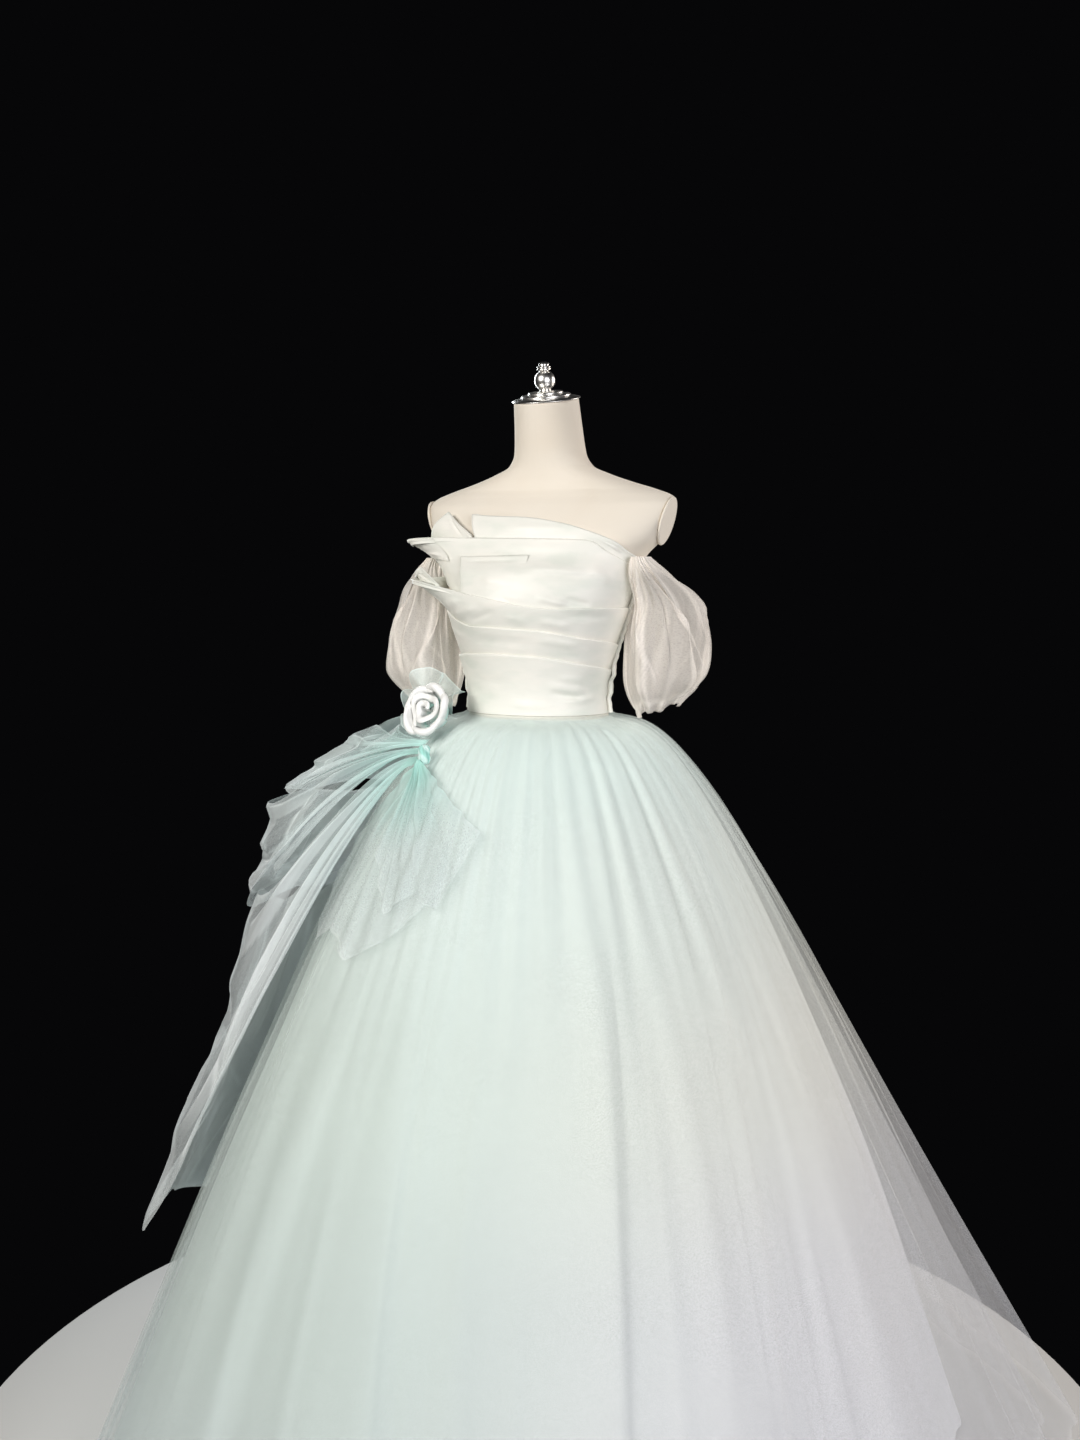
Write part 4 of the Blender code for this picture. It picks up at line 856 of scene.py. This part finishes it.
# Each loop: its angles at the knot and at the side, its top and bottom drops at both, and its reach off the
# skirt at the top and at the bottom.
DRAPE_LOOPS = {
    "drape_loop_upper": (-43.0, -112.0, 0.038, 0.047, 0.024, 0.140, 0.085, 0.150),
    "drape_loop_lower": (-41.0, -116.0, 0.049, 0.058, 0.150, 0.330, 0.150, 0.128),
    "drape_cascade": (-39.0, -108.0, 0.061, 0.074, 0.310, 0.850, 0.100, 0.055),
}
LOOP_CREASES = {
    "drape_loop_upper": [(0.02, 0.3, 0.40, 0.12, 0.15, 13), (0.02, 0.6, 0.42, 0.66, 0.13, -13),
                         (0.40, 0.12, 0.53, 1.0, 0.12, 14), (0.40, 0.12, 0.66, 0.40, 0.13, -11),
                         (0.66, 0.40, 0.53, 1.0, 0.12, 12), (0.66, 0.40, 0.96, 0.22, 0.12, 10),
                         (0.02, 0.5, 0.30, 0.92, 0.10, 11), (0.66, 0.40, 0.84, 0.95, 0.11, -11),
                         (0.22, 0.02, 0.42, 0.66, 0.08, -8), (0.84, 0.0, 0.96, 0.6, 0.09, 8)],
    "drape_loop_lower": [(0.02, 0.3, 0.44, 0.0, 0.14, 14), (0.02, 0.6, 0.50, 0.56, 0.11, -15),
                         (0.44, 0.0, 0.50, 0.56, 0.11, 15), (0.50, 0.56, 0.34, 1.0, 0.11, 13),
                         (0.50, 0.56, 0.72, 0.12, 0.13, -13), (0.50, 0.56, 0.80, 0.95, 0.11, 13),
                         (0.72, 0.12, 0.90, 0.62, 0.11, 11), (0.02, 0.7, 0.26, 1.0, 0.09, 10),
                         (0.24, 0.16, 0.36, 0.74, 0.08, -9), (0.62, 0.9, 0.72, 0.5, 0.07, 8)],
    "drape_cascade": [(0.02, 0.3, 0.40, 0.08, 0.12, 12), (0.02, 0.5, 0.46, 0.36, 0.10, -13),
                      (0.02, 0.6, 0.42, 0.70, 0.09, 13), (0.46, 0.0, 0.52, 0.40, 0.10, 14),
                      (0.52, 0.40, 0.44, 1.0, 0.09, 14), (0.52, 0.40, 0.70, 0.66, 0.10, -13),
                      (0.62, 0.06, 0.66, 0.5, 0.08, 11), (0.28, 0.3, 0.34, 0.95, 0.07, -10),
                      (0.70, 0.66, 0.66, 1.0, 0.08, 12), (0.80, 0.1, 0.86, 0.6, 0.08, 10),
                      (0.86, 0.6, 0.78, 1.0, 0.08, -9)],
}
# The hem's share of its full drop, in uneven points along the loop.
HEM_POINTS = ([0.0, 0.20, 0.32, 0.44, 0.60, 0.80, 1.0], [1.0, 1.01, 1.02, 0.99, 1.02, 1.0, 0.97])
LOOP_CUTS = {"drape_loop_upper": (0.60, 0.30, 0.72), "drape_loop_lower": (0.66, 0.46, 0.72),
             "drape_cascade": (0.78, 1.10, 0.66)}
for number, (name, row) in enumerate(DRAPE_LOOPS.items()):
    start, end, start_top, start_low, top, low, reach_top, reach_low = row
    # The tulle is doubled: down the outside from the top edge, round a fold at the bottom and up the inside.
    u = np.linspace(0, 1, 176)[None, :]
    down = np.linspace(0, 2, 180)[:, None]
    t = 1 - np.abs(1 - down)
    # behind is 1 on the inner half, which lies up to 5 degrees nearer the front, its creases pointing back.
    behind = eased((down - 1) * 2.5)
    angle = start + (end - start) * u + 5.0 * behind * np.sin(np.pi * u)
    spread = eased(u * 2.2)
    high_edge = start_top + (top - start_top) * spread
    low_edge = start_low + (low - start_low) * spread * np.interp(u, *HEM_POINTS)
    rise, pinched = faceted(LOOP_CREASES[name], u - 0.07 * behind * np.sin(np.pi * u), t)
    crumple = (rise * (1 - 1.6 * behind) + 0.007 * np.abs(np.sin(6.0 * u + 3.2 * t + number))
               - 0.006 * np.abs(np.sin(9.0 * t - 4.0 * u + 1.3 * number + 2.0 * behind))) * eased(u * 6)
    # It arches off the skirt, the inner half less than the outer, and both its edges run in points.
    bulge = np.sin(np.pi * u) ** 0.8 * (reach_top + (reach_low - reach_top) * t)
    bulge = bulge * (1 - (0.18 + 0.22 * (1 - t)) * behind)
    jagged = 0.10 * (low_edge - high_edge) * eased(u * 3) * eased((1 - u) * 5)
    zigzag = np.abs(((u * 3.1 + 0.37 * number) % 1) - 0.5) * 2 - 0.5
    zag_high = np.abs(((u * 2.6 + 0.21 + 0.29 * number) % 1) - 0.5) * 2 - 0.5
    drop = high_edge + (low_edge - high_edge) * t + jagged * (zigzag * t ** 2 - 0.8 * zag_high * (1 - t) ** 2)
    grid = skirt_point(angle, drop, 0.010 + np.maximum(bulge + crumple, 0.0) - 0.004 * behind)
    # Fine pleats ray out from the knot.
    rays = 0.5 + 0.5 * np.sin(2 * np.pi * (7 * t + 0.6 * np.sin(3 * u + number)) + number)
    rays = rays ** 6 * np.exp(-(u / 0.45) ** 2)
    hem = np.exp(-((1 - t) / 0.016) ** 2) + 0.7 * np.exp(-(t / 0.020) ** 2)
    cover = (0.50 * pinched * (1 - 0.4 * behind) + 0.30 * eased((u - 0.46) / 0.22) + 0.26 * hem + 0.07 * rays
             + 0.34 * eased((0.16 - u) / 0.16))
    loop = add_surface(name, grid, drape_tulle, cover=cover)
    put_on(loop, "drape_tulle", name)
    width, length, share = LOOP_CUTS[name]

# Each tail: its angles at the hem, its longest drop, its distance off the skirt and its cut.
DRAPE_TAILS = {
    "drape_tail_long": (-62.0, -2.0, 0.350, 0.006, (0.32, 0.33, 0.7)),
    "drape_tail_short": (-34.0, 4.0, 0.268, 0.011, (0.20, 0.25, 0.7)),
}
for number, (name, (left, right, longest, out, cut)) in enumerate(DRAPE_TAILS.items()):
    u = np.linspace(-1, 1, 160)[None, :]
    t = np.linspace(0.0, 1, 104)[:, None]
    # The hem is cut in uneven points.
    point = np.interp(u, [-1.0, -0.62, -0.25, 0.1, 0.55, 1.0],
                      [0.70, 0.99, 0.86, 0.97, 0.84, 0.60] if number == 0 else [0.66, 0.84, 1.0, 0.88, 0.93, 0.55])
    drop = KNOT["drop"] + 0.006 + (longest * point - KNOT["drop"] - 0.006) * t
    angle = KNOT["angle"] + ((left + right) / 2 + (right - left) / 2 * u - KNOT["angle"]) * t ** 0.8
    lines = np.sin(17 * u + 3 * np.sin(3 * u + number))
    pleats = (lines * (0.0035 * (1 - t) + 0.0022 * t) + 0.004 * np.abs(np.sin(5 * u + 2 * t))) * eased(t * 5)
    turn, reach = hung(OUTER_SKIRT, angle, drop, *OUTER_HANG)
    reach = reach + out - 0.002 + pleats + 0.014 * (1 - eased(t * 5))
    grid = points(reach * np.sin(turn), -reach * np.cos(turn), WAIST_Z - drop)
    hem = np.exp(-((1 - t) / 0.010) ** 2) + np.exp(-((1 - np.abs(u)) / 0.012) ** 2)
    cover = 0.55 * np.exp(-t / 0.16) + 0.16 * (0.5 + 0.5 * lines) ** 4 * np.exp(-t / 0.5) + 0.05 * hem
    tail = add_surface(name, grid, drape_tulle, cover=cover)
    put_on(tail, "drape_tulle", name)

# The knot: the tulle wound tight, so that its layers show a deep mint.
wound_tulle = new_material("wound_tulle", Base_Color=linear("B4E4DA"), Roughness=0.8, Sheen_Weight=0.4)
uv = add_node(wound_tulle, "ShaderNodeTexCoord").outputs["UV"]
wraps = add_node(wound_tulle, "ShaderNodeTexWave", {"Scale": 22.0, "Distortion": 3.0}, {"Vector": uv},
                 bands_direction="DIAGONAL").outputs["Fac"]
feed(wound_tulle, Normal=add_node(wound_tulle, "ShaderNodeBump", {"Strength": 0.6, "Distance": 0.002},
                                  {"Height": wraps}).outputs["Normal"],
     Base_Color=add_node(wound_tulle, "ShaderNodeValToRGB", links={"Fac": wraps},
                         stops=[(0.2, "A2DACF"), (0.8, "D2F0EA")]).outputs["Color"])
polar = np.radians(np.linspace(-90, 90, 25))[:, None]
turn = np.arange(0, 360, 7.5)[None, :]
around_it = np.radians(turn)
twist = (1 + 0.20 * np.cos(7 * around_it + 3 * polar)) * (0.75 + 0.35 * np.abs(np.sin(polar)))
bunch = points(KNOT["radius"] * np.cos(polar) * np.cos(around_it) * twist,
               0.8 * KNOT["radius"] * np.cos(polar) * np.sin(around_it) * twist,
               1.5 * KNOT["radius"] * np.sin(polar))
knot = add_surface("knot", bunch + knot_place, wound_tulle, around=True, merge=True,
                   axis=(float(knot_place[0]), float(knot_place[1])))
put_on(knot, "drape_tulle", "drape_knot")

# ---------------------------------------------------------------------------------------------------- Rose
# A satin rose on a tulle ruffle at the wearer's right waist: one bias strip rolled into a bud, with five lapped
# petals round it whose lips are turned over.

ROSE = {"angle": np.radians(-45.0), "reach": 0.178, "z": 1.187, "facing": np.radians(-14.0),
        "lift": np.radians(24.0), "radius": 0.036}
RUFFLE = {"inner": 0.010, "outer": 0.050, "behind": 0.0150, "aside": -0.024, "above": 0.024}
facing = Vector((np.sin(ROSE["facing"]) * np.cos(ROSE["lift"]), -np.cos(ROSE["facing"]) * np.cos(ROSE["lift"]),
                 np.sin(ROSE["lift"])))
rose_centre = Vector((ROSE["reach"] * np.sin(ROSE["angle"]), -ROSE["reach"] * np.cos(ROSE["angle"]), ROSE["z"]))
rose_place = Matrix.Translation(rose_centre) @ facing.to_track_quat("Z", "Y").to_matrix().to_4x4()
rose_axis = (float(rose_centre.x), float(rose_centre.y))

# Silk satin: the bodice's cloth cut thinner. Its colour is painted shade with a painted mint reflection of the
# tulle behind it, deepest in the folds and drawn by the height above the flower's back.
petal_satin = new_material("petal_satin", Roughness=0.34, IOR=1.5, Sheen_Weight=0.25, Sheen_Roughness=0.3)
place = add_node(petal_satin, "ShaderNodeTexCoord").outputs["Object"]
above = add_node(petal_satin, "ShaderNodeVectorMath", {1: tuple(facing)},
                 {0: add_node(petal_satin, "ShaderNodeVectorMath", {1: tuple(rose_centre)}, {0: place},
                              operation="SUBTRACT").outputs["Vector"]}, operation="DOT_PRODUCT").outputs["Value"]
depth_in = add_node(petal_satin, "ShaderNodeMapRange", {"From Min": -0.010, "From Max": 0.016},
                    {"Value": above}).outputs["Result"]
feed(petal_satin,
     Base_Color=add_node(petal_satin, "ShaderNodeValToRGB", links={"Fac": depth_in},
                         stops=[(0.05, "BFE5DD"), (0.35, "E9F4F1"), (0.65, "F8F8F5")]).outputs["Color"])

# The bud is one strip rolled in nearly two turns, its top edge turned out in a soft lip.
size = 1.10 * ROSE["radius"]
s = np.linspace(0, 1, 220)[None, :]
t = np.linspace(0, 1, 30)[:, None]
roll = s * 1.7 * 2 * np.pi
lip = eased((t - 0.72) / 0.28)
radius = size * ((0.02 + 0.58 * s) * (1 + 0.18 * np.sin(3 * roll + 0.5)) + 0.25 * lip)
tall = (0.92 - 0.20 * s + 0.13 * np.sin(3 * roll) * s) * np.minimum(t, 0.9) / 0.9
height = size * (-0.22 + tall - 0.12 * lip ** 2)
bud = points(radius * np.cos(roll), radius * np.sin(roll), height)
put_on(add_surface("rose_bud", moved(bud, rose_place), petal_satin, axis=rose_axis), "satin", "rose_bud")
# Each petal cups out and its top rolls over in a thick lip that tapers to both ends.
climb = np.linspace(0, 1, 20)
curl = np.radians(np.linspace(180, -110, 18))[1:]
for number in range(5):
    u = np.linspace(-1, 1, 64)[None, :]
    turn = np.radians(72 * number) + u * np.radians(56)
    lap = 0.07 * (u + 1)
    thick = 0.125 * (1 - 0.75 * u ** 4) * (1 + 0.25 * np.sin(4 * u + 2 * number))
    droop = 0.14 * u * u - 0.05 * np.sin(4 * u + number)
    wall_radius = (0.46 + 0.26 * np.sin(climb * np.pi / 2))[:, None] + lap
    wall_height = -0.30 + (0.80 - droop) * climb[:, None]
    lip_radius = 0.72 + lap + thick + thick * np.cos(curl)[:, None]
    lip_height = 0.50 - droop + thick * np.sin(curl)[:, None]
    radius = size * np.concatenate([wall_radius, lip_radius])
    height = size * np.concatenate([wall_height, lip_height])
    petal = points(radius * np.cos(turn), radius * np.sin(turn), height)
    piece = add_surface(f"rose_petal_{number + 1}", moved(petal, rose_place), petal_satin, axis=rose_axis)
    put_on(piece, "satin", f"rose_petal_{number + 1}")

# The ruffle: a ring of tulle thrown into standing loops, fuller above the flower.
turn = np.radians(np.arange(0, 360, 1.0))[None, :]
share = np.linspace(0, 1, 44)[:, None]
fuller = 1.06 + 0.12 * np.sin(3 * turn + 1)
radius = RUFFLE["inner"] + (RUFFLE["outer"] - RUFFLE["inner"]) * share * fuller
wave = share ** 1.2 * (0.015 * np.cos(6 * turn + 0.9 * np.sin(2 * turn)) + 0.003 * np.sin(17 * turn))
swing = 0.16 * share * np.sin(6 * turn + 0.9 * np.sin(2 * turn))
ruffle = points(radius * np.cos(turn + swing) + RUFFLE["aside"], radius * np.sin(turn + swing) + RUFFLE["above"],
                wave - RUFFLE["behind"])
ruffle_tulle = new_tulle("ruffle_tulle", 0.34, Base_Color=linear("E2F1ED"))
rim = 0.40 * np.exp(-((1 - share) / 0.03) ** 2) + 0.22 * eased((0.35 - share) / 0.35)
crests = 0.14 * (0.5 + 0.5 * np.cos(6 * turn + 0.9 * np.sin(2 * turn))) ** 5
piece = add_surface("rose_ruffle", moved(ruffle, rose_place), ruffle_tulle, around=True, axis=rose_axis,
                    cover=rim + crests)
put_on(piece, "drape_tulle", "rose_ruffle")

# ---------------------------------------------------------------------------------------------------- Studio
# A plain pale floor, four large soft lights and a dark surround, so that the sheer tulle reads.

floor_material = new_material("pale_floor", Base_Color=linear("C9C8C5"), Roughness=0.8)
floor = add_surface("floor", turned([(0.94, -0.02), (0.94, -0.0005), (0.0, -0.0005)], 128, 4), floor_material,
                    around=True, merge=True)

world = bpy.data.worlds.new("surround")
world.use_nodes = True
world.node_tree.nodes["Background"].inputs["Color"].default_value = (*linear("070708")[:3], 1.0)
world.node_tree.nodes["Background"].inputs["Strength"].default_value = 1.0
bpy.context.scene.world = world


def add_light(name, place, target, width, height, power, colour):
    """A soft rectangular light that faces the target."""
    light = bpy.data.lights.new(name, "AREA")
    light.shape, light.size, light.size_y = "RECTANGLE", width, height
    light.energy, light.color = power, linear(colour)[:3]
    obj = bpy.data.objects.new(name, light)
    obj.location = place
    obj.rotation_euler = (Vector(target) - Vector(place)).to_track_quat("-Z", "Y").to_euler()
    bpy.context.scene.collection.objects.link(obj)


add_light("key", (-1.4, -3.6, 2.9), (0.0, 0.0, 0.9), 1.6, 1.6, 152.0, "FFFCF8")
add_light("fill", (3.0, -2.6, 1.6), (0.0, 0.0, 0.7), 2.2, 2.4, 98.0, "FAFAFF")
add_light("back_left", (-2.6, 2.6, 2.2), (0.0, 0.0, 0.9), 1.6, 2.0, 85.0, "F4FBFF")
add_light("back_right", (2.6, 2.8, 2.0), (0.0, 0.0, 0.9), 1.6, 2.0, 85.0, "FFF8F2")

CAMERA_DISTANCE, CAMERA_TURN, CAMERA_HEIGHT, AIM_HEIGHT = 2.25, np.radians(22.0), 1.40, 1.170
camera = bpy.data.objects.new("camera", bpy.data.cameras.new("camera"))
camera.location = (CAMERA_DISTANCE * np.sin(CAMERA_TURN), -CAMERA_DISTANCE * np.cos(CAMERA_TURN), CAMERA_HEIGHT)
camera.rotation_euler = (Vector((0.0, 0.0, AIM_HEIGHT)) - camera.location).to_track_quat("-Z", "Y").to_euler()
camera.data.lens, camera.data.sensor_width = 36.0, 36.0
bpy.context.scene.collection.objects.link(camera)
bpy.context.scene.camera = camera
bpy.context.scene.view_settings.view_transform = "Standard"
